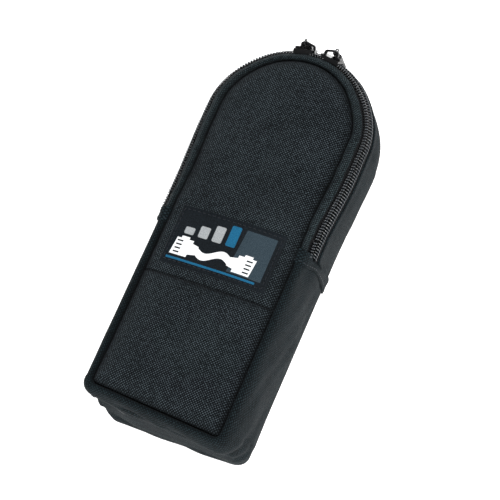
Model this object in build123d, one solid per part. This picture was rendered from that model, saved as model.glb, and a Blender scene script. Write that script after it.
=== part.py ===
"""Zipped soft pouch for a handheld network cable tester, with the tester and its remote unit inside.

The pouch lies on its back: +Z is up through the front, +Y runs along its length to the arched top, +X is to
the right. The origin is at the middle of the resting side, at the middle of the overall length. Millimetres.
"""
import os
from math import cos, hypot, radians, sin

from build123d import *

# ---------------------------------------------------------------- driving dimensions of the pouch
PANEL_R = 38.5          # half width of the front and back panels, and the radius of their arched top
ARCH_Y = 62.5           # centre of the arch
BOTTOM_Y = -109.3       # bottom edge of the front and back panels
CORNER_R = 6.0          # bottom corners of the panels
DEPTH = 54.0            # outside of the back panel to outside of the front panel
STACK = 3.5             # fabric, foam and lining of a padded panel together
FABRIC_T = 0.9          # coated woven fabric
LINING_T = 0.5
BACK_EDGE = 1.0         # the back panel is this much larger all round than the front one
HEM_Y = -3.5            # upper edge of the lower gusset, where the zipper ends
HEM_H = 7.5             # height of its folded hem
SEAM_Y = -39.6          # seam between the lower and middle front panels
FOLD_Y = 5.0            # line on which the flap folds
FOLD_GAP = 0.2          # clearance each side of that line
LABEL_W, LABEL_H, LABEL_T = 62.0, 34.0, 0.7
LABEL_Y = -16.6
JOIN = 0.05             # space left between two sewn edges

# ---------------------------------------------------------------- zipper, a size 5 coil
CHAIN_E, CHAIN_Z = 5.4, 46.9   # middle of the chain: distance out from the panel edge, and height
TILT = radians(30.0)    # the tape's outer face looks up by this much
CHAIN_HALF = 3.1        # half width of the closed chain
TAPE_HALF = 5.6         # half width of the tape that shows between the fabric edges
TAPE_T = 0.6
COIL_T = 1.7
MESH_GAP = 0.1          # half of the line between the two coils
PART_HALF = 1.3         # half of the gap between the coils from one slider's post to the other's
PART_DEG = (-5.5, 9.5)  # where that gap starts and ends, as angles from the top of the arch
SLIDER_DEG = {"left": -8.0, "right": 12.0}  # each slider's angle from the top of the arch

# ---------------------------------------------------------------- slider and pull
SLIDER_L = 12.0
NOSE_HALF, TAIL_HALF = 4.2, 3.8
WING_T = 1.2
CHANNEL_LOW, CHANNEL_HIGH = -0.9, 2.45
FLANGE_LOW = 0.75
FLANGE_IN = 3.45
POST_T0, POST_T1, POST_HALF = 3.4, 5.6, 1.0
PAD_H = 1.3             # raised pad at the tail of its outer face
BAR_T = -0.7            # place along the slider where the pull hangs
BAR_N = 7.2             # height of the middle of the crown's rod there, above the tape
CROWN_T0, CROWN_T1 = -2.6, 5.0  # feet of the crown, at the tail and at the nose
CROWN_ROD, CROWN_W = 1.3, 1.6   # thickness and width of its rod
CROWN_BEND = 1.2
RING_R, RING_WIRE = 1.9, 0.4
RING_DROP = RING_R - RING_WIRE - hypot(CROWN_ROD, CROWN_W) / 2 - 0.07
TAB_W, TAB_L, TAB_T = 5.6, 16.0, 1.0
TAB_EYE_R = 1.0
TAB_TOP = 1.5           # tab above the middle of its eye
TAB_DROP = RING_DROP + RING_R + TAB_EYE_R - RING_WIRE - 0.05

# ---------------------------------------------------------------- tester and remote
UNIT_W, UNIT_Y0, UNIT_Y1 = 72.0, -105.5, 44.5
UNIT_Z0, UNIT_SPLIT, UNIT_Z1 = 4.0, 20.0, 39.0
UNIT_CORNER, UNIT_EDGE, WALL = 9.0, 3.0, 2.2
BUTTON_X, BUTTON_Y = 19.0, -46.0
BUTTON_W, BUTTON_H, BUTTON_PROUD, BUTTON_DEEP = 13.0, 10.0, 1.6, 4.0
BUTTON_GAP, BUTTON_TRAVEL = 0.3, 0.6
BOARD_Z, BOARD_T = 28.0, 1.6
DISPLAY_W, DISPLAY_H, DISPLAY_Y = 46.0, 34.0, 4.0
FACE_T = 0.5
DOOR_W, DOOR_L, DOOR_Y = 34.0, 56.0, -68.0
JACK_W, JACK_H, JACK_L, JACK_Z = 16.0, 14.0, 16.0, 28.0
PLUG_W, PLUG_H, PLUG_IN = 11.6, 8.0, 9.0
REMOTE_W, REMOTE_Y0, REMOTE_Y1 = 54.0, 45.2, 81.0
REMOTE_Z0, REMOTE_SPLIT, REMOTE_Z1 = 14.0, 26.0, 38.0
SCREW_X, SCREW_Y0, SCREW_Y1 = 29.0, -96.0, 34.0
SCREW_R, SCREW_HEAD_R, SCREW_L = 1.4, 2.6, 12.0

WIDE = 400.0            # larger than the object, for cutting boxes


def save(node, shape):
    """Writes one node."""
    shape.label = node
    export_step(shape, f"parts/{node}.step")


def joined(*shapes):
    """One node from separate solids."""
    return Compound(children=[s for shape in shapes for s in shape.solids()])


def between(shape, y0, y1):
    """The part of a shape that lies between two places along the length."""
    return shape & Pos(0, (y0 + y1) / 2, 0) * Box(WIDE, y1 - y0, WIDE)


def mirrored(shape):
    return mirror(shape, about=Plane.YZ)


# ---------------------------------------------------------------- outlines and walls that follow the panel edge
def plate(out, z0, z1):
    """The panel's outline grown by out, between two heights: straight sides, round bottom corners, arched top."""
    half, low, r = PANEL_R + out, BOTTOM_Y - out, CORNER_R + out
    foot = Pos(0, (low + ARCH_Y) / 2, 0) * Rectangle(2 * half, ARCH_Y - low)
    foot = fillet([v for v in foot.vertices() if v.Y < 0], r)
    return extrude(Pos(0, 0, z0) * (foot + Pos(0, ARCH_Y, 0) * Circle(half)), z1 - z0)


def section(curves, place):
    """A face from a list of (e, z) runs: two points make a line, three an arc. place puts (e, z) in space."""
    edges = []
    for run in curves:
        points = [place(e, z) for e, z in run]
        edges.append(Line(*points) if len(points) == 2 else ThreePointArc(*points))
    return make_face(edges)


def arch_wall(curves, y_low):
    """A section carried up the right side from y_low, round the arch and down the left side."""
    face = section(curves, lambda e, z: (PANEL_R + e, ARCH_Y, z))
    side = extrude(face, ARCH_Y - y_low, dir=(0, -1, 0))
    top = revolve(face, Axis((0, ARCH_Y, 0), (0, 0, 1)), revolution_arc=180)
    return side + top + mirrored(side)


def side_wall(curves, y_low, y_high):
    """The same section on the right side alone, between two places along the length."""
    face = section(curves, lambda e, z: (PANEL_R + e, y_low, z))
    return extrude(face, y_high - y_low, dir=(0, 1, 0))


def foot_wall(curves, y_high):
    """A section carried down the right side from y_high, along the bottom and up the left side."""
    centre_x, centre_y = PANEL_R - CORNER_R, BOTTOM_Y + CORNER_R
    face = section(curves, lambda e, z: (PANEL_R + e, centre_y, z))
    side = extrude(face, y_high - centre_y, dir=(0, 1, 0))
    corner = revolve(face, Axis((centre_x, centre_y, 0), (0, 0, -1)), revolution_arc=90)
    base = section(curves, lambda e, z: (centre_x, BOTTOM_Y - e, z))
    base = extrude(base, 2 * centre_x, dir=(-1, 0, 0))
    return side + corner + base + mirrored(corner) + mirrored(side)


def on_tape(w, n):
    """(e, z) of a point w across the tape, towards the back, and n above its middle."""
    return CHAIN_E + w * sin(TILT) + n * cos(TILT), CHAIN_Z - w * cos(TILT) + n * sin(TILT)


def loop(*points):
    """Straight runs that join points into a closed section."""
    return [(a, b) for a, b in zip(points, points[1:] + points[:1])]


# ---------------------------------------------------------------- pouch sections, as (e, z) runs
LOWER_GUSSET = [
    ((JOIN, DEPTH - STACK), (JOIN, DEPTH)),
    ((JOIN, DEPTH), (3.6, 52.2), (5.6, 47.6)),
    ((5.6, 47.6), (6.7, 26.0), (BACK_EDGE + JOIN, 0.0)),
    ((BACK_EDGE + JOIN, 0.0), (BACK_EDGE + JOIN, STACK)),
    ((BACK_EDGE + JOIN, STACK), (5.1, 26.0), (4.0, 46.8)),
    ((4.0, 46.8), (2.4, 49.6), (JOIN, DEPTH - STACK)),
]
LOWER_LINING = [
    ((BACK_EDGE + JOIN, STACK + 0.6), (5.0, 26.0), (3.8, 46.6)),
    ((3.8, 46.6), (3.3, 46.3)),
    ((3.3, 46.3), (4.5, 26.0), (BACK_EDGE - 0.45, STACK + 0.6)),
    ((BACK_EDGE - 0.45, STACK + 0.6), (BACK_EDGE + JOIN, STACK + 0.6)),
]
STRIP_OUT, STRIP_IN = on_tape(-TAPE_HALF - JOIN, 0.45), on_tape(-TAPE_HALF - JOIN, -0.5)
FRONT_STRIP = [
    ((JOIN, DEPTH - 1.4), (JOIN, DEPTH)),
    ((JOIN, DEPTH), (1.8, 53.4), STRIP_OUT),
    (STRIP_OUT, STRIP_IN),
    (STRIP_IN, (1.25, 52.2), (JOIN, DEPTH - 1.4)),
]
RIM_OUT, RIM_IN = on_tape(TAPE_HALF + JOIN, 0.7), on_tape(TAPE_HALF + JOIN, -0.9)
EDGE_Z = 31.0           # lower side of the turned edge along the zipper
EDGE_OUT, EDGE_IN = 8.3, 6.7
ZIPPER_EDGE = [
    (RIM_OUT, (8.8, 36.6), (EDGE_OUT, EDGE_Z + JOIN)),
    ((EDGE_OUT, EDGE_Z + JOIN), (EDGE_IN, EDGE_Z + JOIN)),
    ((EDGE_IN, EDGE_Z + JOIN), (7.2, 36.6), RIM_IN),
    (RIM_IN, RIM_OUT),
]
UPPER_GUSSET = [
    ((EDGE_OUT, EDGE_Z), (6.3, 14.0), (BACK_EDGE + JOIN, 0.0)),
    ((BACK_EDGE + JOIN, 0.0), (BACK_EDGE + JOIN, STACK)),
    ((BACK_EDGE + JOIN, STACK), (4.7, 14.0), (EDGE_IN, EDGE_Z)),
    ((EDGE_IN, EDGE_Z), (EDGE_OUT, EDGE_Z)),
]
UPPER_LINING = [
    ((BACK_EDGE + JOIN, STACK + 0.6), (4.5, 20.0), (5.0, 40.6)),
    ((5.0, 40.6), (4.5, 40.6)),
    ((4.5, 40.6), (4.0, 20.0), (BACK_EDGE - 0.45, STACK + 0.6)),
    ((BACK_EDGE - 0.45, STACK + 0.6), (BACK_EDGE + JOIN, STACK + 0.6)),
]
HEM = [
    ((5.7, 47.8), (6.85, 26.0), (3.2, 5.0)),
    ((3.2, 5.0), (4.4, 4.6)),
    ((4.4, 4.6), (8.0, 26.0), (7.0, 48.2)),
    ((7.0, 48.2), (5.7, 47.8)),
]
FRONT_TAPE = loop(*[on_tape(w, n) for w, n in
                    ((-TAPE_HALF, -0.3), (-TAPE_HALF, 0.3), (-MESH_GAP, 0.3), (-MESH_GAP, -0.3))])
BACK_TAPE = loop(*[on_tape(w, n) for w, n in
                   ((TAPE_HALF, -0.3), (TAPE_HALF, 0.3), (MESH_GAP, 0.3), (MESH_GAP, -0.3))])
COIL_TOP = TAPE_T / 2 + COIL_T
FRONT_COIL = loop(*[on_tape(w, n) for w, n in
                    ((-CHAIN_HALF, 0.3), (-CHAIN_HALF, 1.3), (-CHAIN_HALF + 0.7, COIL_TOP),
                     (-MESH_GAP, COIL_TOP), (-MESH_GAP, 0.3))])
BACK_COIL = loop(*[on_tape(w, n) for w, n in
                   ((CHAIN_HALF, 0.3), (CHAIN_HALF, 1.3), (CHAIN_HALF - 0.7, COIL_TOP),
                    (MESH_GAP, COIL_TOP), (MESH_GAP, 0.3))])
PARTING = loop(*[on_tape(w, n) for w, n in
                 ((-PART_HALF, -2.0), (-PART_HALF, 4.0), (PART_HALF, 4.0), (PART_HALF, -2.0))])
BACK_BINDING = loop((-1.5, STACK + JOIN), (-0.3, STACK + JOIN), (-0.3, STACK + 6.0), (-1.5, STACK + 6.0))
FRONT_BINDING_TOP = DEPTH - STACK - JOIN
FRONT_BINDING = loop((-1.5, FRONT_BINDING_TOP), (-0.3, FRONT_BINDING_TOP),
                     (-0.3, FRONT_BINDING_TOP - 6.0), (-1.5, FRONT_BINDING_TOP - 6.0))


def panel_layers():
    """Fabric, foam and lining of the back, of the lower front and of the flap."""
    lining_z = STACK - LINING_T
    save("back_panel", plate(BACK_EDGE, 0, FABRIC_T))
    save("back_foam", plate(-1.5, FABRIC_T, lining_z))
    save("back_lining", plate(BACK_EDGE, lining_z, STACK))
    layers = {
        "panel": plate(0, DEPTH - FABRIC_T, DEPTH),
        "foam": plate(-1.5, DEPTH - lining_z, DEPTH - FABRIC_T),
        "lining": plate(0, DEPTH - STACK, DEPTH - lining_z),
    }
    fixed_top, flap_low = FOLD_Y - FOLD_GAP, FOLD_Y + FOLD_GAP
    for layer, shape in layers.items():
        save(f"flap_{layer}", between(shape, flap_low, WIDE))
        if layer != "panel":
            save(f"front_{layer}", between(shape, -WIDE, fixed_top))
    save("front_lower_panel", between(layers["panel"], -WIDE, SEAM_Y - JOIN))
    save("front_middle_panel", between(layers["panel"], SEAM_Y + JOIN, fixed_top))


def gussets():
    """Side walls: the lower one round the bottom, the upper one round the arch with its turned edge along the
    zipper, and the hems where they meet."""
    save("lower_gusset", foot_wall(LOWER_GUSSET, HEM_Y))
    save("lower_gusset_lining", foot_wall(LOWER_LINING, HEM_Y))
    save("upper_gusset", arch_wall(UPPER_GUSSET, HEM_Y + JOIN))
    save("gusset_zipper_edge", arch_wall(ZIPPER_EDGE, HEM_Y + JOIN))
    save("upper_gusset_lining", arch_wall(UPPER_LINING, HEM_Y + JOIN))
    hem = side_wall(HEM, HEM_Y - HEM_H, HEM_Y)
    save("right_hem", hem)
    save("left_hem", mirrored(hem))


def front_strips():
    """Narrow fabric between the front seam and the zipper: on the flap, and its ends below the fold."""
    save("flap_strip", arch_wall(FRONT_STRIP, FOLD_Y + FOLD_GAP))
    end = side_wall(FRONT_STRIP, HEM_Y + JOIN, FOLD_Y - FOLD_GAP)
    save("front_strip_ends", joined(end, mirrored(end)))


def zipper():
    """Tapes and coils. The flap carries the front half down to the fold."""
    arch_axis = Axis((0, ARCH_Y, 0), (0, 0, 1))
    first, last = PART_DEG
    parting = section(PARTING, lambda e, z: (PANEL_R + e, ARCH_Y, z))
    parting = revolve(parting, arch_axis, revolution_arc=last - first).rotate(arch_axis, 90 - last)
    for name, curves in (("tape", FRONT_TAPE), ("coil", FRONT_COIL)):
        save(f"zipper_front_{name}", arch_wall(curves, FOLD_Y + FOLD_GAP) - parting)
        end = side_wall(curves, HEM_Y + JOIN, FOLD_Y - FOLD_GAP)
        save(f"zipper_front_{name}_ends", joined(end, mirrored(end)))
    for name, curves in (("tape", BACK_TAPE), ("coil", BACK_COIL)):
        save(f"zipper_back_{name}", arch_wall(curves, HEM_Y + JOIN) - parting)


def bindings():
    """Tapes that wrap the seam allowances inside the pouch."""
    save("back_seam_binding", joined(foot_wall(BACK_BINDING, HEM_Y), arch_wall(BACK_BINDING, HEM_Y + JOIN)))
    save("front_seam_binding", foot_wall(FRONT_BINDING, FOLD_Y - FOLD_GAP))
    save("flap_seam_binding", arch_wall(FRONT_BINDING, FOLD_Y + FOLD_GAP))


def label():
    """Woven patch across the middle front panel."""
    patch = extrude(Pos(0, LABEL_Y, DEPTH) * RectangleRounded(LABEL_W, LABEL_H, 1.0), LABEL_T)
    save("label_patch", patch)


# ---------------------------------------------------------------- sliders, in their own frame: t along, w across, n out
def slider_body():
    """Two wings, joined at the nose by a post, with edges that guide the coils."""
    half_l = SLIDER_L / 2
    outline = make_face(Polyline(
        (-half_l, -TAIL_HALF), (1.0, -NOSE_HALF), (half_l - 1.2, -NOSE_HALF), (half_l, -NOSE_HALF + 1.4),
        (half_l, NOSE_HALF - 1.4), (half_l - 1.2, NOSE_HALF), (1.0, NOSE_HALF), (-half_l, TAIL_HALF), close=True))
    inner_wing = extrude(Pos(0, 0, CHANNEL_LOW - WING_T) * outline, WING_T)
    outer_wing = extrude(Pos(0, 0, CHANNEL_HIGH) * outline, WING_T)
    guide = extrude(Pos(0, 0, FLANGE_LOW) * outline, CHANNEL_HIGH - FLANGE_LOW)
    guide -= Box(WIDE, 2 * FLANGE_IN, WIDE)
    post = Pos((POST_T0 + POST_T1) / 2, 0, (CHANNEL_LOW + CHANNEL_HIGH) / 2) * Box(
        POST_T1 - POST_T0, 2 * POST_HALF, CHANNEL_HIGH - CHANNEL_LOW)
    pad = Pos(-4.5, 0, CHANNEL_HIGH + WING_T + PAD_H / 2) * Box(2.4, 4.0, PAD_H)
    pad = fillet(pad.edges().group_by(Axis.Z)[-1], 0.5)
    return inner_wing + outer_wing + guide + post + pad


def slider_crown():
    """Bent bar along the top of a slider, that the pull hangs from. It slopes down towards the nose."""
    foot = CHANNEL_HIGH + WING_T
    path = Plane.XZ * FilletPolyline(
        (CROWN_T0, foot), (CROWN_T0 + 0.3, BAR_N), (0.4, BAR_N), (CROWN_T1 - 0.2, foot + 1.9), (CROWN_T1, foot),
        radius=CROWN_BEND)
    rod = Plane(origin=path @ 0, z_dir=path % 0, x_dir=(0, 1, 0)) * Rectangle(CROWN_W, CROWN_ROD)
    crown = sweep(rod, path=path)
    return crown - Pos(0, 0, foot - 5) * Box(WIDE, WIDE, 10)


def slider_place(side):
    """Frame of a slider at rest. Each nose faces the other slider."""
    angle = radians(90 - SLIDER_DEG[side])
    out = Vector(cos(angle), sin(angle), 0)
    radius = PANEL_R + CHAIN_E
    origin = Vector(radius * out.X, ARCH_Y + radius * out.Y, CHAIN_Z)
    nose = Vector(-out.Y, out.X, 0) if side == "right" else Vector(out.Y, -out.X, 0)
    normal = out * cos(TILT) + Vector(0, 0, sin(TILT))
    return Plane(origin=origin, x_dir=nose, z_dir=normal)


def bar_place(side):
    """Frame at the middle of the crown's bar: x along it, z straight up, so a pull hangs down -z."""
    plane = slider_place(side)
    origin = plane.origin + plane.x_dir * BAR_T + plane.z_dir * BAR_N
    return Plane(origin=origin, x_dir=plane.x_dir, z_dir=(0, 0, 1))


def pull_ring():
    """Wire ring through the crown, in the plane across the bar."""
    return Pos(0, 0, -RING_DROP) * Rot(0, 90, 0) * Torus(RING_R, RING_WIRE)


def pull_tab():
    """Flat tab that hangs from the ring by a round eye."""
    face = Plane.XZ * Pos(0, TAB_TOP - TAB_DROP - TAB_L / 2) * RectangleRounded(TAB_W, TAB_L, 1.85)
    eye = Plane.XZ * Pos(0, -TAB_DROP) * Circle(TAB_EYE_R)
    slot = Plane.XZ * Pos(0, -TAB_DROP - 7.5) * SlotOverall(6.0, 1.8, rotation=90)
    return extrude(face - eye - slot, TAB_T / 2, both=True)


def sliders():
    for side in SLIDER_DEG:
        save(f"{side}_slider_body", slider_place(side) * slider_body())
        save(f"{side}_slider_crown", slider_place(side) * slider_crown())
        save(f"{side}_pull_ring", bar_place(side) * pull_ring())
        save(f"{side}_pull_tab", bar_place(side) * pull_tab())


# ---------------------------------------------------------------- tester
def rounded_box(w, y0, y1, z0, z1, corner):
    return Pos(0, (y0 + y1) / 2, z0) * extrude(RectangleRounded(w, y1 - y0, corner), z1 - z0)


def half_shell(w, y0, y1, z0, z1, corner, edge, wall, closed_top):
    """One half of a moulded case: a rounded tray, closed above or below."""
    body = rounded_box(w, y0, y1, z0, z1, corner)
    rim = body.edges().group_by(Axis.Z)[-1 if closed_top else 0]
    body = fillet(rim, edge)
    low, high = (z0, z1 - wall) if closed_top else (z0 + wall, z1)
    return body - rounded_box(w - 2 * wall, y0 + wall, y1 - wall, low, high, corner - wall)


def block(x, y, z0, z1, w, length):
    return Pos(x, y, (z0 + z1) / 2) * Box(w, length, z1 - z0)


def button_places():
    return {"power": (-BUTTON_X, BUTTON_Y), "test": (0.0, BUTTON_Y), "tone": (BUTTON_X, BUTTON_Y)}


def screw_places():
    return [(x, y) for x in (-SCREW_X, SCREW_X) for y in (SCREW_Y0, SCREW_Y1)]


def button_shape(x, y, gap, z0, z1):
    return Pos(x, y, z0) * extrude(RectangleRounded(BUTTON_W + 2 * gap, BUTTON_H + 2 * gap, 3.0), z1 - z0)


def tester():
    """Main unit: case halves, face, display, buttons, circuit board, jack, battery and its door."""
    front = half_shell(UNIT_W, UNIT_Y0, UNIT_Y1, UNIT_SPLIT, UNIT_Z1, UNIT_CORNER, UNIT_EDGE, WALL, True)
    back = half_shell(UNIT_W, UNIT_Y0, UNIT_Y1, UNIT_Z0, UNIT_SPLIT, UNIT_CORNER, UNIT_EDGE, WALL, False)
    face = rounded_box(UNIT_W - 10, UNIT_Y0 + 12, UNIT_Y1 - 6, UNIT_Z1, UNIT_Z1 + FACE_T, 6.0)
    window = block(0, DISPLAY_Y, UNIT_Z1 - 5, UNIT_Z1 + 2, DISPLAY_W, DISPLAY_H)
    front, face = front - window, face - window
    for x, y in button_places().values():
        hole = button_shape(x, y, BUTTON_GAP, UNIT_Z1 - 5, UNIT_Z1 + 2)
        front, face = front - hole, face - hole
    mouth = block(0, UNIT_Y1, JACK_Z - JACK_H / 2, JACK_Z + JACK_H / 2, JACK_W, 4 * WALL)
    front -= mouth
    back -= block(0, DOOR_Y, UNIT_Z0 - 1, UNIT_Z0 + WALL + 1, DOOR_W, DOOR_L)
    for x, y in screw_places():
        boss = Pos(x, y, UNIT_Z0 + WALL) * Cylinder(4.0, UNIT_SPLIT - UNIT_Z0 - WALL,
                                                    align=(Align.CENTER, Align.CENTER, Align.MIN))
        bore = Pos(x, y, UNIT_Z0 - 1) * Cylinder(SCREW_HEAD_R + 0.2, 4.0, align=(Align.CENTER, Align.CENTER, Align.MIN))
        shank = Pos(x, y, 0) * Cylinder(SCREW_R + 0.15, UNIT_SPLIT * 2)
        back = back + boss - bore - shank
    save("tester_front_case", front)
    save("tester_back_case", back)
    save("tester_face", face)
    save("tester_display", block(0, DISPLAY_Y, UNIT_Z1 - 1.6, UNIT_Z1 + 0.2, DISPLAY_W - 0.4, DISPLAY_H - 0.4))
    save("tester_display_module", block(0, DISPLAY_Y, UNIT_Z1 - WALL - 4.2, UNIT_Z1 - WALL - 0.2,
                                        DISPLAY_W + 4, DISPLAY_H + 4))
    for name, (x, y) in button_places().items():
        cap = button_shape(x, y, 0, UNIT_Z1 - BUTTON_DEEP, UNIT_Z1 + BUTTON_PROUD)
        cap = fillet(cap.edges().group_by(Axis.Z)[-1], 0.8)
        flange = button_shape(x, y, 1.0, UNIT_Z1 - BUTTON_DEEP, UNIT_Z1 - WALL - 0.2)
        save(f"{name}_button", cap + flange)
    board = rounded_box(UNIT_W - 8, UNIT_Y0 + 4, UNIT_Y1 - 4, BOARD_Z, BOARD_Z + BOARD_T, 5.0)
    board -= block(0, UNIT_Y1 - 0.6 - JACK_L / 2, BOARD_Z - 1, BOARD_Z + BOARD_T + 1, JACK_W, JACK_L + 0.2)
    save("tester_circuit_board", board)
    switch_top = UNIT_Z1 - BUTTON_DEEP - BUTTON_TRAVEL - 0.3
    save("tester_key_switches", joined(*[block(x, y, BOARD_Z + BOARD_T, switch_top, 6.0, 6.0)
                                         for x, y in button_places().values()]))
    jack = block(0, UNIT_Y1 - 0.6 - JACK_L / 2, JACK_Z - JACK_H / 2 + 0.1, JACK_Z + JACK_H / 2 - 0.1, JACK_W - 0.2,
                 JACK_L)
    jack -= block(0, UNIT_Y1 - 7, JACK_Z - PLUG_H / 2 - 0.2, JACK_Z + PLUG_H / 2 + 0.2, PLUG_W + 0.4, 14.0)
    save("tester_jack", jack)
    save("battery", Pos(0, DOOR_Y, 7.0 + 8.5) * Box(26.0, 48.0, 17.0))
    save("battery_door", block(0, DOOR_Y, UNIT_Z0, UNIT_Z0 + WALL, DOOR_W - 0.5, DOOR_L - 0.5))
    head_z = UNIT_Z0 + 0.6
    screws = []
    for x, y in screw_places():
        head = Pos(x, y, head_z) * Cylinder(SCREW_HEAD_R, 2.2, align=(Align.CENTER, Align.CENTER, Align.MIN))
        stem = Pos(x, y, head_z) * Cylinder(SCREW_R, SCREW_L, align=(Align.CENTER, Align.CENTER, Align.MIN))
        drive = Pos(x, y, head_z) * (Box(3.0, 0.7, 1.6) + Box(0.7, 3.0, 1.6))
        screws.append(head + stem - drive)
    save("tester_screws", joined(*screws))


def remote():
    """Remote unit, docked by its plug in the main unit's jack."""
    top = half_shell(REMOTE_W, REMOTE_Y0, REMOTE_Y1, REMOTE_SPLIT, REMOTE_Z1, 6.0, 2.5, 2.0, True)
    base = half_shell(REMOTE_W, REMOTE_Y0, REMOTE_Y1, REMOTE_Z0, REMOTE_SPLIT, 6.0, 2.5, 2.0, False)
    plug_hole = block(0, REMOTE_Y0, JACK_Z - PLUG_H / 2 - 0.05, JACK_Z + PLUG_H / 2 + 0.05, PLUG_W + 0.1, 8.0)
    jack_hole = block(0, REMOTE_Y1, JACK_Z - JACK_H / 2, JACK_Z + JACK_H / 2, JACK_W, 8.0)
    save("remote_front_case", top - plug_hole - jack_hole)
    save("remote_back_case", base - plug_hole - jack_hole)
    plug = block(0, REMOTE_Y0 - PLUG_IN / 2 + 3.0, JACK_Z - PLUG_H / 2, JACK_Z + PLUG_H / 2, PLUG_W, PLUG_IN + 6.0)
    save("remote_plug", plug)
    jack = block(0, REMOTE_Y1 - 0.4 - 6.0, JACK_Z - JACK_H / 2 + 0.1, JACK_Z + JACK_H / 2 - 0.1, JACK_W - 0.2, 12.0)
    jack -= block(0, REMOTE_Y1 - 4, JACK_Z - PLUG_H / 2, JACK_Z + PLUG_H / 2, PLUG_W, 10.0)
    save("remote_jack", jack)
    save("remote_circuit_board", block(0, (REMOTE_Y0 + REMOTE_Y1) / 2, REMOTE_Z0 + 4, REMOTE_Z0 + 5.6,
                                       REMOTE_W - 8, REMOTE_Y1 - REMOTE_Y0 - 8))


os.makedirs("parts", exist_ok=True)
panel_layers()
gussets()
front_strips()
zipper()
bindings()
label()
sliders()
tester()
remote()
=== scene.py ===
"""Looks of the zipped tester pouch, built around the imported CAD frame. Helpers work in millimetres."""
from math import cos, hypot, pi, radians, sin

import bmesh
import bpy
import numpy as np
from mathutils import Matrix, Vector, noise


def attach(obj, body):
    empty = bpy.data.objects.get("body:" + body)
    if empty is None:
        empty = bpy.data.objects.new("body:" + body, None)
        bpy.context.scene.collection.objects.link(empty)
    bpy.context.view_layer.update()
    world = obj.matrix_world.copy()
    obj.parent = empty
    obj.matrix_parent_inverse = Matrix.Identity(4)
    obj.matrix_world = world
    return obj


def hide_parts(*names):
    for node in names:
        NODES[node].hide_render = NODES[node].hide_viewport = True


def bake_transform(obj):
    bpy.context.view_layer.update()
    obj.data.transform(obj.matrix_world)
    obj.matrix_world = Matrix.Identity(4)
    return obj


MM = 0.001

# ---------------------------------------------------------------- sizes shared with the CAD model
PANEL_R, ARCH_Y, BOTTOM_Y, CORNER_R = 38.5, 62.5, -109.3, 3.0
DEPTH, STACK, FABRIC = 54.0, 3.5, 0.9
BACK_EDGE = 1.0
HEM_Y, HEM_H = -3.5, 7.5
SEAM_Y, FOLD_Y = -39.6, 5.0
LABEL_W, LABEL_H, LABEL_Y, LABEL_T = 62.0, 34.0, -16.6, 0.7
CHAIN_E, CHAIN_Z, TILT = 5.4, 46.9, radians(30.0)
TAPE_HALF, TAPE_T, MESH_GAP, PART_HALF = 5.6, 0.6, 0.1, 1.3
PART_DEG = (-5.5, 9.5)      # the sliders stand between these angles, where the zipper is open
SEAM_Z = 40.0               # cloth above this height turns in to the front seam, and only there is the seam's painted shade put on a wall
TAPER = 0.35                # how much of its width a thread keeps at its end
THREAD_R, LABEL_THREAD_R, STITCH_DIP = 0.17, 0.22, 0.22

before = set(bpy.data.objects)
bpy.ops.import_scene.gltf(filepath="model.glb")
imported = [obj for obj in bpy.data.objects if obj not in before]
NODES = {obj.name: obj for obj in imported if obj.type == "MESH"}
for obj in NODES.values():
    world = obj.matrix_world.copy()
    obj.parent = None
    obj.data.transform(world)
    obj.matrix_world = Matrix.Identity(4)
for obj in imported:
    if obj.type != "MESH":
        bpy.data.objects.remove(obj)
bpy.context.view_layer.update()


# ---------------------------------------------------------------- small maths
def smooth(x, low, high):
    """0 below low, 1 above high, with a soft turn between."""
    t = np.clip((np.asarray(x, float) - low) / (high - low), 0, 1)
    return t * t * (3 - 2 * t)


def hump(x, low, top_low, top_high, high):
    """Rises from low to top_low, falls from top_high to high."""
    return smooth(x, low, top_low) * (1 - smooth(x, top_high, high))


def ripple(x, y, size, seed):
    """Soft noise of about plus or minus one, with bumps of that size in millimetres."""
    x, y = np.broadcast_arrays(np.asarray(x, float), np.asarray(y, float))
    flat = [noise.noise(Vector((a / size, b / size, seed))) for a, b in zip(x.ravel(), y.ravel())]
    return np.array(flat).reshape(x.shape)


def curve_through(points, steps):
    """Smooth line through points (Catmull-Rom), with steps pieces between neighbours."""
    p = np.array(points, float)
    p = np.vstack([2 * p[0] - p[1], p, 2 * p[-1] - p[-2]])
    out = []
    for a, b, c, d in zip(p, p[1:], p[2:], p[3:]):
        for t in np.arange(steps) / steps:
            out.append(0.5 * (2 * b + (c - a) * t + (2 * a - 5 * b + 4 * c - d) * t ** 2
                              + (3 * b - a - 3 * c + d) * t ** 3))
    return np.array(out + [p[-2]])


def run_length(points):
    """Distance along a line of points, starting at 0."""
    return np.concatenate([[0.0], np.cumsum(np.linalg.norm(np.diff(points, axis=0), axis=1))])


# ---------------------------------------------------------------- lines round the pouch
def side_run(sign, y0, y1, step):
    """Places up or down one straight side: each is (point, outward direction)."""
    ys = np.linspace(y0, y1, max(2, round(abs(y1 - y0) / step) + 1))
    return [((sign * PANEL_R, y), (sign, 0.0)) for y in ys]


def arc_run(centre, radius, deg0, deg1, step):
    """Places along an arc, in the same form."""
    count = max(4, round(radians(abs(deg1 - deg0)) * (radius + 5) / step))
    angles = np.radians(np.linspace(deg0, deg1, count + 1))
    return [((centre[0] + radius * cos(a), centre[1] + radius * sin(a)), (cos(a), sin(a))) for a in angles]


def path_of(runs):
    """Points on the panel edge and their outward directions, without doubled ends."""
    rows = [r for run in runs for r in run]
    kept = [rows[0]] + [b for a, b in zip(rows, rows[1:]) if hypot(a[0][0] - b[0][0], a[0][1] - b[0][1]) > 1e-6]
    return np.array([r[0] for r in kept]), np.array([r[1] for r in kept])


def arch_path(y_low, step=1.5):
    """Up the right side, round the arch and down the left side."""
    return path_of([side_run(1, y_low, ARCH_Y, step), arc_run((0, ARCH_Y), PANEL_R, 0, 180, step),
                    side_run(-1, ARCH_Y, y_low, step)])


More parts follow.
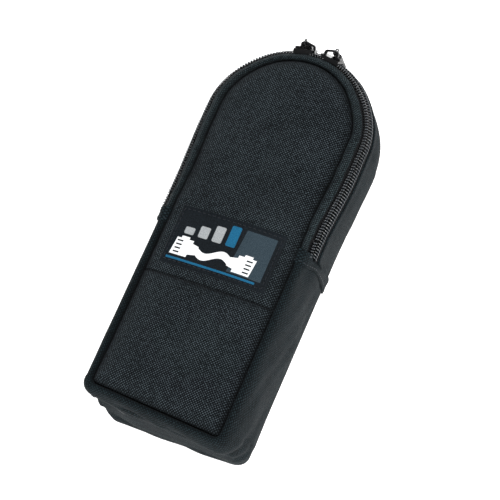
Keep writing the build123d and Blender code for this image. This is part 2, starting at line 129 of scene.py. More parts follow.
def foot_path(y_high, step=1.5):
    """Down the right side, along the bottom and up the left side."""
    x, y = PANEL_R - CORNER_R, BOTTOM_Y + CORNER_R
    base = [((a, BOTTOM_Y), (0.0, -1.0)) for a in np.linspace(x, -x, round(2 * x / step) + 1)]
    return path_of([side_run(1, y_high, y, step), arc_run((x, y), CORNER_R, 0, -90, step), base,
                    arc_run((-x, y), CORNER_R, -90, -180, step), side_run(-1, y, y_high, step)])


def whole_path(step=1.5):
    """All round, starting on the right side."""
    up_points, up_normals = arch_path(0, step)
    down_points, down_normals = foot_path(0, step)
    points = np.vstack([up_points, down_points[::-1][1:-1]])
    return points, np.vstack([up_normals, down_normals[::-1][1:-1]])


def on_tape(w, n):
    """(e, z) of a point w across the tape, towards the back, and n above its middle."""
    return CHAIN_E + w * sin(TILT) + n * cos(TILT), CHAIN_Z - w * cos(TILT) + n * sin(TILT)


def swept(path, e, z):
    """Grid of points at e out from a path and at height z; e and z have a row for each point of the path."""
    base, normal = path
    return np.stack([base[:, :1] + normal[:, :1] * e, base[:, 1:] + normal[:, 1:] * e, z + 0 * e], axis=2)


def line_at(path, e, z):
    """The line that runs at e out from a path and at height z."""
    column = np.zeros((len(path[0]), 1))
    return swept(path, column + np.reshape(e, (-1, 1)), column + np.reshape(z, (-1, 1)))[:, 0]


def tangents(points):
    """Unit directions along a line of points."""
    t = np.gradient(np.array(points, float), axis=0)
    return t / np.linalg.norm(t, axis=1)[:, None]


def edge_offset(x, y):
    """Distance out from the panel's edge, and the direction outward."""
    reach = np.maximum(np.hypot(x, np.maximum(y - ARCH_Y, 0)), 1e-6)
    side = reach - PANEL_R
    foot = BOTTOM_Y - y
    at_foot = foot > side
    nx = np.where(at_foot, 0.0, x / reach)
    ny = np.where(at_foot, -1.0, np.maximum(y - ARCH_Y, 0) / reach)
    return np.where(at_foot, foot, side), nx, ny


def settle(points):
    """The soft shape that the filled pouch takes: wider beside the flap, drawn in at the fold, with the front
    seam pulled in and the front's foot a little askew."""
    p = np.array(points, float)
    x, y, z = p[..., 0], p[..., 1], p[..., 2]
    e, nx, ny = edge_offset(x, y)
    along_flap = smooth(y, 0, 30)
    drawn = 0.5 * (x < 0) * (1 - along_flap) + (1.4 - 0.5 * smooth(y, 80, 98)) * along_flap
    drawn = drawn * smooth(e, -14, -1) * (1 - smooth(e, 0.3, 4.2)) * smooth(z, 44, 50) * smooth(y, -106, -80)
    up = smooth(z, 2, 22)
    right = 2.0 * hump(y, 12, 45, 62, 98) - 0.5 * hump(y, -14, 2, 8, 20)
    left = 0.9 * hump(y, 20, 52, 70, 98)
    askew = -2.8 * (x / PANEL_R) * smooth(-y, 66, 106) * smooth(z, 26, 50)
    facing = smooth(-x, 12, 30) * smooth(y, 14, 32)
    tucked = 0.3 * facing * smooth(e, 6.5, 8.5) * hump(z, 30, 38, 46, 48)
    p[..., 0] = x + up * (right * smooth(x, 12, PANEL_R) - left * smooth(-x, 12, PANEL_R)) - (drawn + tucked) * nx
    p[..., 1] = y - (drawn + tucked) * ny + askew
    p[..., 2] = z + 0.8 * facing * smooth(e, 3.0, 8.0) * smooth(z, 34, 42)
    return p


# ---------------------------------------------------------------- meshes
def new_mesh():
    """An empty bmesh with its UV layer and its layer of painted shade."""
    bm = bmesh.new()
    return bm, bm.loops.layers.uv.new("UVMap"), bm.verts.layers.float.new("painted_shade")


def plan_uvs(bm, layer):
    """UVs that are the plan position in millimetres."""
    for face in bm.faces:
        for corner in face.loops:
            corner[layer].uv = (corner.vert.co.x, corner.vert.co.y)


def add_object(name, data):
    """A new object in the scene."""
    obj = bpy.data.objects.new(name, data)
    bpy.context.scene.collection.objects.link(obj)
    return obj


def finish_mesh(name, bm, mat):
    """Turns a bmesh in millimetres into a smooth object in metres."""
    bmesh.ops.recalc_face_normals(bm, faces=bm.faces)
    bmesh.ops.scale(bm, vec=(MM, MM, MM), verts=bm.verts)
    mesh = bpy.data.meshes.new(name)
    bm.to_mesh(mesh)
    bm.free()
    for face in mesh.polygons:
        face.use_smooth = True
    mesh.materials.append(mat)
    return add_object(name, mesh)


def surface(name, grid, along, across, mat, loop=False, ring=False, caps=False, plan=False, weld=0.0, painted_shade=None):
    """Mesh from a grid of points. loop joins the last row to the first, ring the last column to the first.
    UVs are millimetres along and across, or the plan position. Each point may carry a painted shade, from 0 to 1,
    that darkens its colour in seams and hollows."""
    rows, cols = grid.shape[:2]
    bm, layer, seam = new_mesh()
    verts = [bm.verts.new(p) for p in grid.reshape(-1, 3)]
    # Painted shade: each point stores how far its colour is darkened towards the shade colour.
    if painted_shade is not None:
        for v, value in zip(verts, np.broadcast_to(painted_shade, grid.shape[:2]).ravel()):
            v[seam] = float(value)
    for i in range(rows if loop else rows - 1):
        for j in range(cols if ring else cols - 1):
            corners = [(i, j), (i + 1, j), (i + 1, j + 1), (i, j + 1)]
            face = bm.faces.new([verts[(a % rows) * cols + b % cols] for a, b in corners])
            for corner, (a, b) in zip(face.loops, corners):
                corner[layer].uv = (along[a], across[b])
    if caps:
        for row in (0, rows - 1):
            face = bm.faces.new(verts[row * cols:(row + 1) * cols])
            for b, corner in enumerate(face.loops):
                corner[layer].uv = (along[row], across[b])
    if plan:
        plan_uvs(bm, layer)
    if weld:
        bmesh.ops.remove_doubles(bm, verts=bm.verts, dist=weld)
    return finish_mesh(name, bm, mat)


def skin(outer, thick):
    """Closed (e, z) section of a cloth that thick behind a line of points, with its outer side first."""
    outer = np.array(outer, float)
    t = tangents(outer)
    inward = np.stack([t[:, 1], -t[:, 0]], axis=1)
    soft = np.minimum(1.0, 0.35 + np.minimum(np.arange(len(outer)), np.arange(len(outer))[::-1]) / 3)
    inner = outer + inward * (thick * soft)[:, None]
    return np.vstack([outer, inner[::-1]])


def wall(name, path, section, mat, shift=None, loop=False):
    """Carries a closed (e, z) section along a path. shift(x, y, z) adds to e."""
    base, normal = path
    section = np.array(section, float)
    e, z = section[:, 0][None, :], np.broadcast_to(section[:, 1][None, :], (len(base), len(section)))
    e = np.broadcast_to(e, z.shape).copy()
    if shift:
        x, y = base[:, :1] + normal[:, :1] * e, base[:, 1:] + normal[:, 1:] * e
        e += shift(x, y, z)
    grid = swept(path, e, z)
    middle = base + normal * section[:, 0].mean()
    along = run_length(np.vstack([middle, middle[:1]]) if loop else middle)
    across = run_length(np.vstack([section, section[:1]]))
    # Painted shade: section points near the front seam groove, above SEAM_Z, are painted darker.
    painted_shade = np.exp(-np.maximum(section[:, 0] - 0.2, 0) / 0.75) * (section[:, 1] > SEAM_Z)
    return surface(name, settle(grid), along, across, mat, loop=loop, ring=True, caps=not loop, painted_shade=painted_shade[None, :])


def tube_grid(points, radius, sides):
    """Rings of points round a line."""
    up = np.array([0.3, 0.2, 0.93])
    rings = []
    for p, d in zip(points, tangents(points)):
        up = up - d * (up @ d)
        up /= np.linalg.norm(up)
        side = np.cross(d, up)
        a = np.arange(sides) * 2 * pi / sides
        rings.append(p + radius * (np.cos(a)[:, None] * up + np.sin(a)[:, None] * side))
    return np.array(rings)


def add_tube(bm, layer, shade, points, radius, sides, taper=False, painted_shade=None):
    """A closed tube along points, with rounded ends if taper is set, and a painted shade for each ring of points if
    given.
    """
    points = np.array(points, float)
    grid = tube_grid(points, radius, sides)
    if taper:
        for end in (0, -1):
            grid[end] = points[end] + (grid[end] - points[end]) * TAPER
    length = run_length(points)
    verts = [[bm.verts.new(p) for p in ring] for ring in grid]
    # Painted shade: each ring of the tube stores how far its colour is darkened towards the shade colour.
    if painted_shade is not None:
        for ring, value in zip(verts, painted_shade):
            for v in ring:
                v[shade] = float(value)
    for i in range(len(verts) - 1):
        for j in range(sides):
            k = (j + 1) % sides
            face = bm.faces.new((verts[i][j], verts[i][k], verts[i + 1][k], verts[i + 1][j]))
            for corner, (a, b) in zip(face.loops, ((i, j), (i, j + 1), (i + 1, j + 1), (i + 1, j))):
                corner[layer].uv = (length[a], b * radius)
    for ring in (verts[0], verts[-1]):
        bm.faces.new(ring)


def tubes(name, lines, radius, sides, mat, taper=False, painted_shade=None):
    """Tubes along lines of points, as one object."""
    bm, layer, shade = new_mesh()
    for k, points in enumerate(lines):
        add_tube(bm, layer, shade, points, radius, sides, taper, painted_shade[k] if painted_shade else None)
    return finish_mesh(name, bm, mat)


def stitches_on(points, length=2.1, gap=0.9, proud=0.05):
    """Short threads along a line of points: each dips into the cloth at its ends."""
    points = np.array(points, float)
    s = run_length(points)
    count = max(1, int((s[-1] + gap) / (length + gap)))
    start = (s[-1] - count * (length + gap) + gap) / 2
    lines = []
    for k in range(count):
        at = start + k * (length + gap) + np.linspace(0, length, 6)
        line = np.stack([np.interp(at, s, points[:, c]) for c in range(3)], axis=1)
        line[:, 2] += np.array([-STITCH_DIP, 0.0, proud, proud, 0.0, -STITCH_DIP])
        lines.append(line)
    return lines


# ---------------------------------------------------------------- materials
def material(name, rough, metallic=0.0, **sockets):
    """A material with its constants on the shader; returns it with its tree and shader."""
    mat = bpy.data.materials.new(name)
    mat.use_nodes = True
    shader = mat.node_tree.nodes["Principled BSDF"]
    shader.inputs["Roughness"].default_value = rough
    shader.inputs["Metallic"].default_value = metallic
    for key, value in sockets.items():
        shader.inputs[key.replace("_", " ")].default_value = value
    return mat, mat.node_tree, shader


def node(tree, kind, settings=None, **inputs):
    """A node with its settings, and its inputs set to a number, a colour or another node's socket."""
    made = tree.nodes.new(kind)
    for key, value in (settings or {}).items():
        setattr(made, key, value)
    for key, value in inputs.items():
        socket = made.inputs[int(key[1:])] if key[0] == "i" and key[1:].isdigit() else made.inputs[key]
        if isinstance(value, bpy.types.NodeSocket):
            tree.links.new(value, socket)
        else:
            socket.default_value = value
    return made


def calc(tree, operation, a, b=0.0, c=0.0):
    """A sum on numbers or sockets."""
    return node(tree, "ShaderNodeMath", {"operation": operation}, i0=a, i1=b, i2=c).outputs[0]


def place_of(tree, kind):
    """Texture coordinates: "Object", in metres, or "UV", in millimetres."""
    return tree.nodes.new("ShaderNodeTexCoord").outputs[kind]


def noise_of(tree, scale, detail=3.0, rough=0.5):
    """Noise value over the object."""
    return node(tree, "ShaderNodeTexNoise", None, Vector=place_of(tree, "Object"), Scale=scale, Detail=detail,
                Roughness=rough).outputs[0]


def ramp(tree, value, stops):
    """Colour ramp; stops are (place, colour)."""
    made = node(tree, "ShaderNodeValToRGB", None, Fac=value)
    line = made.color_ramp.elements
    while len(line) < len(stops):
        line.new(0.5)
    for stop, (place, colour) in zip(line, stops):
        stop.position = place
        stop.color = (*colour, 1.0)
    return made.outputs[0]


def mix(tree, factor, a, b):
    """Colour between a and b."""
    made = tree.nodes.new("ShaderNodeMix")
    made.data_type = "RGBA"
    for socket, value in ((made.inputs[0], factor), (made.inputs[6], a), (made.inputs[7], b)):
        if isinstance(value, bpy.types.NodeSocket):
            tree.links.new(value, socket)
        else:
            socket.default_value = (*value, 1.0) if isinstance(value, tuple) else value
    return made.outputs[2]


def link_look(tree, shader, colour, gloss, height, strength, depth):
    """Links a colour, a roughness and a bump that is depth millimetres deep; a gloss of None leaves it be."""
    tree.links.new(colour, shader.inputs["Base Color"])
    if gloss is not None:
        tree.links.new(gloss, shader.inputs["Roughness"])
    made = node(tree, "ShaderNodeBump", None, Height=height, Strength=strength, Distance=depth * MM)
    tree.links.new(made.outputs[0], shader.inputs["Normal"])


def to_linear(colour):
    """Linear values of an sRGB colour given as 0 to 255."""
    parts = [c / 255 for c in colour]
    return tuple(c / 12.92 if c <= 0.04045 else ((c + 0.055) / 1.055) ** 2.4 for c in parts)


def ridges(tree, value, pitch=1.0):
    """Rounded ridges, one for each pitch."""
    return calc(tree, "ABSOLUTE", calc(tree, "SINE", calc(tree, "MULTIPLY", value, pi / pitch)))


def weave_height(tree, pitch):
    """Plain weave over the UVs: its height, which thread is on top, a random value for each crossing, and the
    place."""
    place = node(tree, "ShaderNodeMapping", None, Vector=place_of(tree, "UV"),
                 Scale=(1 / pitch, 1 / pitch, 1.0)).outputs[0]
    wander = node(tree, "ShaderNodeTexNoise", None, Vector=place, Scale=0.16, Detail=2.0).outputs[1]
    place = node(tree, "ShaderNodeVectorMath", {"operation": "MULTIPLY_ADD"}, i0=wander, i1=(1.1, 1.1, 0.0),
                 i2=place).outputs[0]
    parts = node(tree, "ShaderNodeSeparateXYZ", None, Vector=place)
    u, v = parts.outputs[0], parts.outputs[1]
    ridge_u, ridge_v = ridges(tree, u), ridges(tree, v)
    corner = node(tree, "ShaderNodeVectorMath", {"operation": "FLOOR"}, i0=place).outputs[0]
    cell = node(tree, "ShaderNodeTexWhiteNoise", {"noise_dimensions": "2D"}, Vector=corner).outputs[0]
    cells = calc(tree, "ADD", calc(tree, "FLOOR", u), calc(tree, "FLOOR", v))
    over = calc(tree, "PINGPONG", cells, 1.0)
    warp, weft = [calc(tree, "MULTIPLY", calc(tree, "POWER", a, 0.8), calc(tree, "POWER", b, 0.35))
                  for a, b in ((ridge_v, ridge_u), (ridge_u, ridge_v))]
    height = calc(tree, "ADD", calc(tree, "MULTIPLY", warp, over),
                  calc(tree, "MULTIPLY", weft, calc(tree, "SUBTRACT", 1.0, over)))
    return height, over, cell, place


def with_painted_shade(tree, colour, shade):
    """A colour that turns to a painted shade colour in seams and hollows, by the painted-shade values stored on the
    mesh's points.
    """
    # Painted shade: this node reads the painted-shade value stored on each point.
    seam = tree.nodes.new("ShaderNodeAttribute")
    seam.attribute_name = "painted_shade"
    return mix(tree, calc(tree, "MULTIPLY", seam.outputs["Fac"], 0.95), colour, shade)


def woven(name, dark, light, pitch, rough=0.8, depth=0.3, sheen=0.02, contrast=1.0):
    """Plain-woven cloth: threads over and under, slubs, uneven dye and a soft sheen, with thread tops painted
    lighter, the dips between threads painted darker, and painted shade in seams.
    """
    dark, light = to_linear(dark), to_linear(light)
    mat, tree, shader = material(name, rough, Sheen_Weight=sheen, Sheen_Roughness=0.45,
                                 Sheen_Tint=(0.8, 0.9, 1.0, 1.0), Specular_IOR_Level=0.08)
    height, over, cell, place = weave_height(tree, pitch)
    slub = node(tree, "ShaderNodeTexNoise", None, Vector=place, Scale=0.9, Detail=2.0).outputs[0]
    patchy = noise_of(tree, 45.0, 4.0)
    # Painted light and shade: the tone rises with the weave's height and where the warp lies on top, so thread tops
    # are painted lighter and the dips between threads darker; the slub, crossing and patchy terms are random tone.
    tone = calc(tree, "MULTIPLY_ADD", height, 0.55 * contrast, calc(tree, "MULTIPLY", slub, 0.7))
    tone = calc(tree, "MULTIPLY_ADD", over, 0.42 * contrast, tone)
    tone = calc(tree, "MULTIPLY_ADD", cell, 0.2 * contrast, tone)
    tone = calc(tree, "MULTIPLY_ADD", patchy, 0.25, calc(tree, "SUBTRACT", tone, 0.54))
    middle = tuple(0.88 * a + 0.12 * b for a, b in zip(dark, light))
    colour = ramp(tree, tone, [(0.38, dark), (0.68, middle), (0.98, light)])
    gloss = calc(tree, "MULTIPLY_ADD", slub, -0.25, rough + 0.12)
    full = calc(tree, "MULTIPLY_ADD", slub, 0.35, height)
    # Painted shade: the colour goes to a tenth of the dark colour where the mesh's points carry painted shade.
    link_look(tree, shader, with_painted_shade(tree, colour, tuple(c * 0.1 for c in dark)), gloss, full, 0.75, depth)
    return mat


def plastic(name, colour, rough, grain=900.0, depth=0.02, wear=0.2, shine=0.5):
    """Moulded plastic: fine texture, uneven gloss, slightly paler scuffs and near-black painted shade where the
    mesh's points carry it.
    """
    colour = to_linear(colour)
    mat, tree, shader = material(name, rough, Specular_IOR_Level=shine)
    fine = noise_of(tree, grain, 3.0)
    wide = noise_of(tree, 35.0, 5.0, 0.6)
    scuff = ramp(tree, wide, [(0.45, colour), (0.75, tuple(min(1.0, c * (1 + wear) + 0.01) for c in colour))])
    gloss = calc(tree, "MULTIPLY_ADD", fine, 0.18, calc(tree, "MULTIPLY_ADD", wide, 0.15, rough - 0.16))
    # Painted shade: the colour goes near-black where the mesh's points carry painted shade, as in the coil's low
    # parts.
    link_look(tree, shader, with_painted_shade(tree, scuff, tuple(c * 0.02 for c in colour)), gloss, fine, 0.5, depth)
    return mat


def lacquered_metal(name, lacquer, bare, worn):
    """Coated metal that has worn bright on its edges; more worn means more bare metal."""
    mat, tree, shader = material(name, 0.3, 0.75, Specular_IOR_Level=0.6, Coat_Weight=0.35, Coat_Roughness=0.15)
    edge = tree.nodes.new("ShaderNodeNewGeometry").outputs["Pointiness"]
    spots = noise_of(tree, 520.0, 4.0, 0.65)
    rubbed = calc(tree, "MULTIPLY_ADD", spots, 0.10, edge)
    mask = ramp(tree, rubbed, [(0.80 - worn, (0.0,) * 3), (0.98 - worn, (1.0,) * 3)])
    gloss = calc(tree, "MULTIPLY_ADD", spots, 0.22, 0.16)
    link_look(tree, shader, mix(tree, mask, to_linear(lacquer), to_linear(bare)), gloss, spots, 0.35, 0.02)
    return mat


def threads(name, dark, light, rough=0.6, pitch=0.5):
    """Twisted thread or narrow ribbed tape: slanted ribs along the UVs, with rib crests painted lighter."""
    mat, tree, shader = material(name, rough, Sheen_Weight=0.05, Sheen_Roughness=0.4, Specular_IOR_Level=0.2)
    parts = node(tree, "ShaderNodeSeparateXYZ", None, Vector=place_of(tree, "UV"))
    slant = calc(tree, "ADD", parts.outputs[0], calc(tree, "MULTIPLY", parts.outputs[1], 0.6))
    rib = ridges(tree, slant, pitch)
    mottle = noise_of(tree, 700.0, 3.0)
    # Painted light and shade: the tone rises with the rib's height, so rib crests are painted lighter and the grooves
    # between them darker; the mottle is random tone.
    tone = calc(tree, "MULTIPLY_ADD", mottle, 0.5, calc(tree, "MULTIPLY", rib, 0.6))
    colour = ramp(tree, tone, [(0.2, to_linear(dark)), (0.9, to_linear(light))])
    gloss = calc(tree, "MULTIPLY_ADD", mottle, 0.25, rough - 0.12)
    link_look(tree, shader, colour, gloss, rib, 0.6, 0.08)
    return mat


CLOTH_DARK = (2, 5, 7)
FABRIC_MAT = woven("pouch_fabric", CLOTH_DARK, (63, 72, 77), 0.8)
# Painted shade: the side walls and hems are the same cloth as the front, painted darker so that they look less bright
# where the lamps light them.
SHADED_WALL_MAT = woven("pouch_wall_fabric_painted_darker", CLOTH_DARK, (30, 42, 46), 0.9, contrast=1.05)
LINING_MAT = woven("pouch_lining", (16, 17, 19), (44, 47, 50), 0.42, rough=0.55, depth=0.07)
STRIP_MAT = woven("strip_fabric", CLOTH_DARK, (62, 74, 78), 0.68)
TAPE_MAT = threads("zipper_tape", (1, 1, 2), (16, 18, 20), 0.9, 0.55)
BINDING_MAT = threads("binding", (14, 15, 17), (46, 50, 53), 0.7, 0.8)
THREAD_MAT = threads("sewing_thread", (6, 8, 10), (34, 40, 48), 0.5, 0.35)
LABEL_THREAD_MAT = threads("label_thread", (2, 3, 5), (18, 24, 32), 0.5, 0.35)
COIL_THREAD_MAT = threads("coil_thread", (30, 34, 38), (104, 112, 118), 0.5, 0.35)
COIL_MAT = plastic("zipper_coil", (38, 44, 49), 0.24, grain=1600.0, depth=0.004, wear=0.4, shine=0.7)
CORE_MAT = plastic("coil_core", (3, 4, 5), 0.95, grain=1600.0, depth=0.01, shine=0.05)
METAL_MAT = lacquered_metal("slider_metal", (20, 21, 23), (150, 154, 158), 0.0)
LABEL_PITCH = 0.34
LABEL_MAT = woven("label_cloth", (4, 7, 9), (34, 42, 49), LABEL_PITCH, 0.6, 0.05, 0.03)
LABEL_FIELD_MAT = woven("label_field", (34, 46, 54), (66, 80, 88), LABEL_PITCH, 0.6, 0.04, 0.03)
WHITE_MAT = woven("label_white", (222, 224, 226), (252, 252, 252), LABEL_PITCH, 0.6, 0.04, 0.1)
GREY_MAT = woven("label_grey", (130, 134, 136), (186, 190, 192), LABEL_PITCH, 0.6, 0.04, 0.1)
BLUE_MAT = woven("label_blue", (14, 74, 104), (38, 116, 156), LABEL_PITCH, 0.6, 0.04, 0.1)
CASE_MAT = plastic("case_plastic", (232, 190, 40), 0.45)
BACK_CASE_MAT = plastic("case_back_plastic", (46, 48, 50), 0.5)
FACE_MAT = plastic("face_film", (34, 38, 44), 0.35, grain=1400.0, depth=0.008)
BUTTON_MAT = plastic("button_rubber", (92, 98, 104), 0.7, grain=1100.0)
MODULE_MAT = plastic("module_plastic", (120, 124, 122), 0.4)
SWITCH_MAT = plastic("switch_plastic", (30, 30, 32), 0.45)
JACK_MAT = plastic("jack_plastic", (24, 24, 26), 0.35)
PLUG_MAT = plastic("plug_plastic", (176, 186, 192), 0.18, depth=0.005)
BATTERY_MAT = plastic("battery_case", (60, 66, 74), 0.35)
LAMP_MAT = plastic("lamp_lens", (46, 160, 84), 0.15, depth=0.002)
PRINT_MAT = plastic("key_print", (224, 228, 230), 0.5, depth=0.003)
INK_MAT = plastic("display_ink", (34, 42, 38), 0.4, depth=0.003)
FRAME_MAT = plastic("display_frame_plastic", (18, 20, 22), 0.3, depth=0.006)
SCREW_MAT = lacquered_metal("screw_steel", (120, 122, 124), (200, 202, 204), 0.03)


def board_material():
    """Green circuit board with tracks and pads."""
    mat, tree, shader = material("board", 0.35)
    tracks = node(tree, "ShaderNodeTexBrick", {"offset": 0.37}, Vector=place_of(tree, "Object"), Scale=160.0,
                  Color1=(*to_linear((18, 84, 52)), 1), Color2=(*to_linear((24, 98, 62)), 1),
                  Mortar=(*to_linear((60, 140, 92)), 1))
    gloss = calc(tree, "MULTIPLY_ADD", noise_of(tree, 200.0), 0.2, 0.25)
    link_look(tree, shader, tracks.outputs[0], gloss, tracks.outputs[1], 0.4, 0.05)
    return mat


def glass_material():
    """Grey-green liquid-crystal display under a clear window."""
    mat, tree, shader = material("display_glass", 0.08, Coat_Weight=0.8, Coat_Roughness=0.03)
    stops = [(0.3, to_linear((126, 140, 118))), (0.7, to_linear((142, 156, 132)))]
    colour = ramp(tree, noise_of(tree, 60.0, 4.0), stops)
    link_look(tree, shader, colour, None, noise_of(tree, 1800.0), 0.1, 0.004)
    return mat


# ---------------------------------------------------------------- padded panels
CREASE = 2.8            # depth of the seam groove round the front
FRONT_CROWN = 2.0       # how much higher the middle of the front stands than its edge, beyond its rounded rim
# How far in from the edge of a pad its lines of points lie.
EDGE_STEPS = np.array([0.0, 0.3, 0.7, 1.2, 1.8, 2.6, 3.6, 5.0, 6.8, 8.8, *np.arange(11.0, 37.0, 2.5), PANEL_R])
PUFF_CAP = 1.3          # the furthest that the cloth may move a point of the front
LINING_T = 0.5          # thickness of the lining behind a pad


def edge_distance(x, y, out=0.0):
    """Distance in from the panel's edge."""
    half = PANEL_R + out
    side = half - np.abs(x)
    arch = half - np.hypot(x, np.maximum(y - ARCH_Y, 0))
    foot = y - (BOTTOM_Y - out)
    both = np.where(y > ARCH_Y, arch, side)
    r = CORNER_R + out
    corner = r - np.hypot(np.maximum(r - side, 0), np.maximum(r - foot, 0))
    near = np.where((side < r) & (foot < r), corner, np.minimum(both, foot))
    return np.maximum(near, 0)


def front_height(x, y):
    """Outer side of the front panels."""
    d = edge_distance(x, y)
    seam = np.abs(y - SEAM_Y)
    z = DEPTH - CREASE + (CREASE - 0.1) * (1 - np.exp(-d / 1.25)) + 1.15 * (1 - np.exp(-d / 7.0))
    z -= 0.9 * np.exp(-seam / 0.9) * smooth(d, 0, 2) + 0.45 * np.exp(-seam / 5.0)
    z += FRONT_CROWN * (1 - (1 - np.minimum(d / PANEL_R, 1)) ** 2)
    z += 0.55 * ripple(x, y, 27.0, 3.1) * smooth(d, 1, 12)
    z += 0.24 * ripple(x, y, 8.0, 7.7) * np.exp(-d / 6.0) * smooth(d, 0.2, 2.0)
    return z


def pad(name, path, spine, top, bottom, mat, loop=False, out=0.0):
    """A closed pad. Its rows follow the outline; its columns run in over the top and back under the bottom."""
    base, normal = path
    centre = np.array([spine(p) for p in base])
    reach = base + normal * out - centre
    share = 1 - EDGE_STEPS[::-1] / PANEL_R
    over = centre[:, None, :] + reach[:, None, :] * share[None, :, None]
    sides = [np.concatenate([xy, height(xy[..., 0], xy[..., 1])[..., None]], axis=2)
             for xy, height in ((over, top), (over[:, ::-1, :], bottom))]
    grid = np.concatenate(sides, axis=1)
    blank = np.zeros(max(grid.shape[:2]) + 1)
    # Painted shade: the outer side is painted darker towards the crease at the panel's edge, and along the seam
    # between the front panels.
    painted_shade = np.exp(-edge_distance(grid[..., 0], grid[..., 1], out) / 1.6)
    painted_shade = np.maximum(painted_shade, 0.7 * np.exp(-np.abs(grid[..., 1] - SEAM_Y) / 0.5)) * (grid[..., 2] > DEPTH - STACK)
    return surface(name, settle(grid), blank, blank, mat, loop=loop, ring=True, caps=not loop, plan=True,
                   weld=0.02, painted_shade=painted_shade)


def flat_at(z, dip=0.0, out=0.0):
    """A nearly flat face at a height, that turns by dip at its edge."""
    return lambda x, y: z + dip * np.exp(-edge_distance(x, y, out) / 0.8)


CLOTH_SCALE = 20.0      # the cloth is worked out at this many times its size, where its stiffness suits the mesh
CLOTH_FRAMES = 18
CLOTH_FORCE = 4.0       # pressure from inside
CLOTH_SPARE = 0.02      # how much larger the cloth is than the shape it covers


def puff(obj, loose, cap):
    """Lets the outer cloth of a pad swell and pucker between its seams: Blender's cloth, put back in the mesh.
    loose is 1 where a point may move and 0 where it is held; cap is the furthest it may go, in millimetres."""
    mesh = obj.data
    rest = np.zeros(len(mesh.vertices) * 3)
    mesh.vertices.foreach_get("co", rest)
    rest = rest.reshape(-1, 3)
    free = loose(rest / MM)
    copy = add_object("loose_cloth", mesh.copy())
    copy.data.vertices.foreach_set("co", (rest * CLOTH_SCALE).ravel())
    held = copy.vertex_groups.new(name="held")
    for k, share in enumerate(free):
        if share < 1:
            held.add([k], 1.0 - float(share), "REPLACE")
    cloth = copy.modifiers.new("cloth", "CLOTH")
    for setting, value in (("quality", 4), ("mass", 0.2), ("tension_stiffness", 12), ("compression_stiffness", 12),
                           ("bending_stiffness", 1.2), ("air_damping", 2), ("use_pressure", True),
                           ("uniform_pressure_force", CLOTH_FORCE), ("vertex_group_mass", "held"),
                           ("shrink_min", -CLOTH_SPARE)):
        setattr(cloth.settings, setting, value)
    cloth.settings.effector_weights.gravity = 0
    cloth.collision_settings.use_collision = False
    cloth.point_cache.frame_start, cloth.point_cache.frame_end = 1, CLOTH_FRAMES
    for k in range(1, CLOTH_FRAMES + 1):
        bpy.context.scene.frame_set(k)
    done = copy.evaluated_get(bpy.context.evaluated_depsgraph_get()).to_mesh()
    moved = np.zeros(len(mesh.vertices) * 3)
    done.vertices.foreach_get("co", moved)
    shift = moved.reshape(-1, 3) / CLOTH_SCALE - rest
    far = np.linalg.norm(shift, axis=1)[:, None]
    limit = cap * MM
    shift *= limit * np.tanh(far / limit) / np.maximum(far, 1e-9)
    mesh.vertices.foreach_set("co", (rest + shift * free[:, None]).ravel())
    mesh.update()
    bpy.data.objects.remove(copy)
    bpy.context.scene.frame_set(1)


def loose_front(p):
    """How free the front's points are: only the outer side, away from its seams and from under the label."""
    x, y, z = p[:, 0], p[:, 1], p[:, 2]
    free = smooth(edge_distance(x, y), 0.6, 4.5) * smooth(np.abs(y - SEAM_Y), 0.3, 3.0)
    label_side = np.maximum(np.abs(x) - LABEL_W / 2, np.abs(y - LABEL_Y) - LABEL_H / 2)
    return free * smooth(label_side, 0.0, 5.0) * (z > DEPTH - 2.0)


def upper_spine(p):
    """The place on the middle line that a pad's rows run to from an edge point p, in its upper part."""
    return (0.0, min(p[1], ARCH_Y))


def lower_spine(p):
    """The same for a pad's lower part."""
    return (0.0, max(p[1], BOTTOM_Y + PANEL_R))


def whole_spine(p):
    """The same for the back, which has both parts."""
    return upper_spine(lower_spine(p))


def front_pads():
    """The two front panels. The upper one is one cloth over the fold."""
    under = flat_at(DEPTH - STACK + LINING_T)
    upper = pad("front_upper_pad", arch_path(SEAM_Y), upper_spine, front_height, under, FABRIC_MAT)
    puff(upper, loose_front, PUFF_CAP)
    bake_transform(upper)
    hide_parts("front_middle_panel", "flap_panel", "flap_foam")
    lower = pad("front_lower_pad", foot_path(SEAM_Y), lower_spine, front_height, under, FABRIC_MAT)
    puff(lower, loose_front, PUFF_CAP)
    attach(lower, "root")
    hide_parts("front_lower_panel", "front_foam")


def quilted(z, sign):
    """Lining face with soft waves."""
    return lambda x, y: z + sign * 0.22 * ripple(x, y, 15.0, 5.5) * smooth(edge_distance(x, y), 0, 5)


def linings():
    """Smooth linings behind the padded panels."""
    top, low = flat_at(DEPTH - STACK + LINING_T), quilted(DEPTH - STACK, 1)
    front = pad("front_lining_cloth", arch_path(SEAM_Y), upper_spine, top, low, LINING_MAT)
    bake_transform(front)
    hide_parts("flap_lining")
    low_front = pad("front_lower_lining_cloth", foot_path(SEAM_Y), lower_spine, top, low, LINING_MAT)
    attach(low_front, "root")
    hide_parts("front_lining")
    back = pad("back_lining_cloth", whole_path(), whole_spine, quilted(STACK, -1), flat_at(STACK - LINING_T),
               LINING_MAT, loop=True)
    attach(back, "root")
    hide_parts("back_lining")


def back_pad():
    """The back panel, flat where it lies on the floor and rounded up to its seam."""
    back = pad("back_pad", whole_path(), whole_spine, flat_at(STACK - LINING_T, -0.8, BACK_EDGE),
               flat_at(0.0, 1.0, BACK_EDGE), FABRIC_MAT, loop=True, out=BACK_EDGE)
    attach(back, "root")
    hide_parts("back_panel", "back_foam")


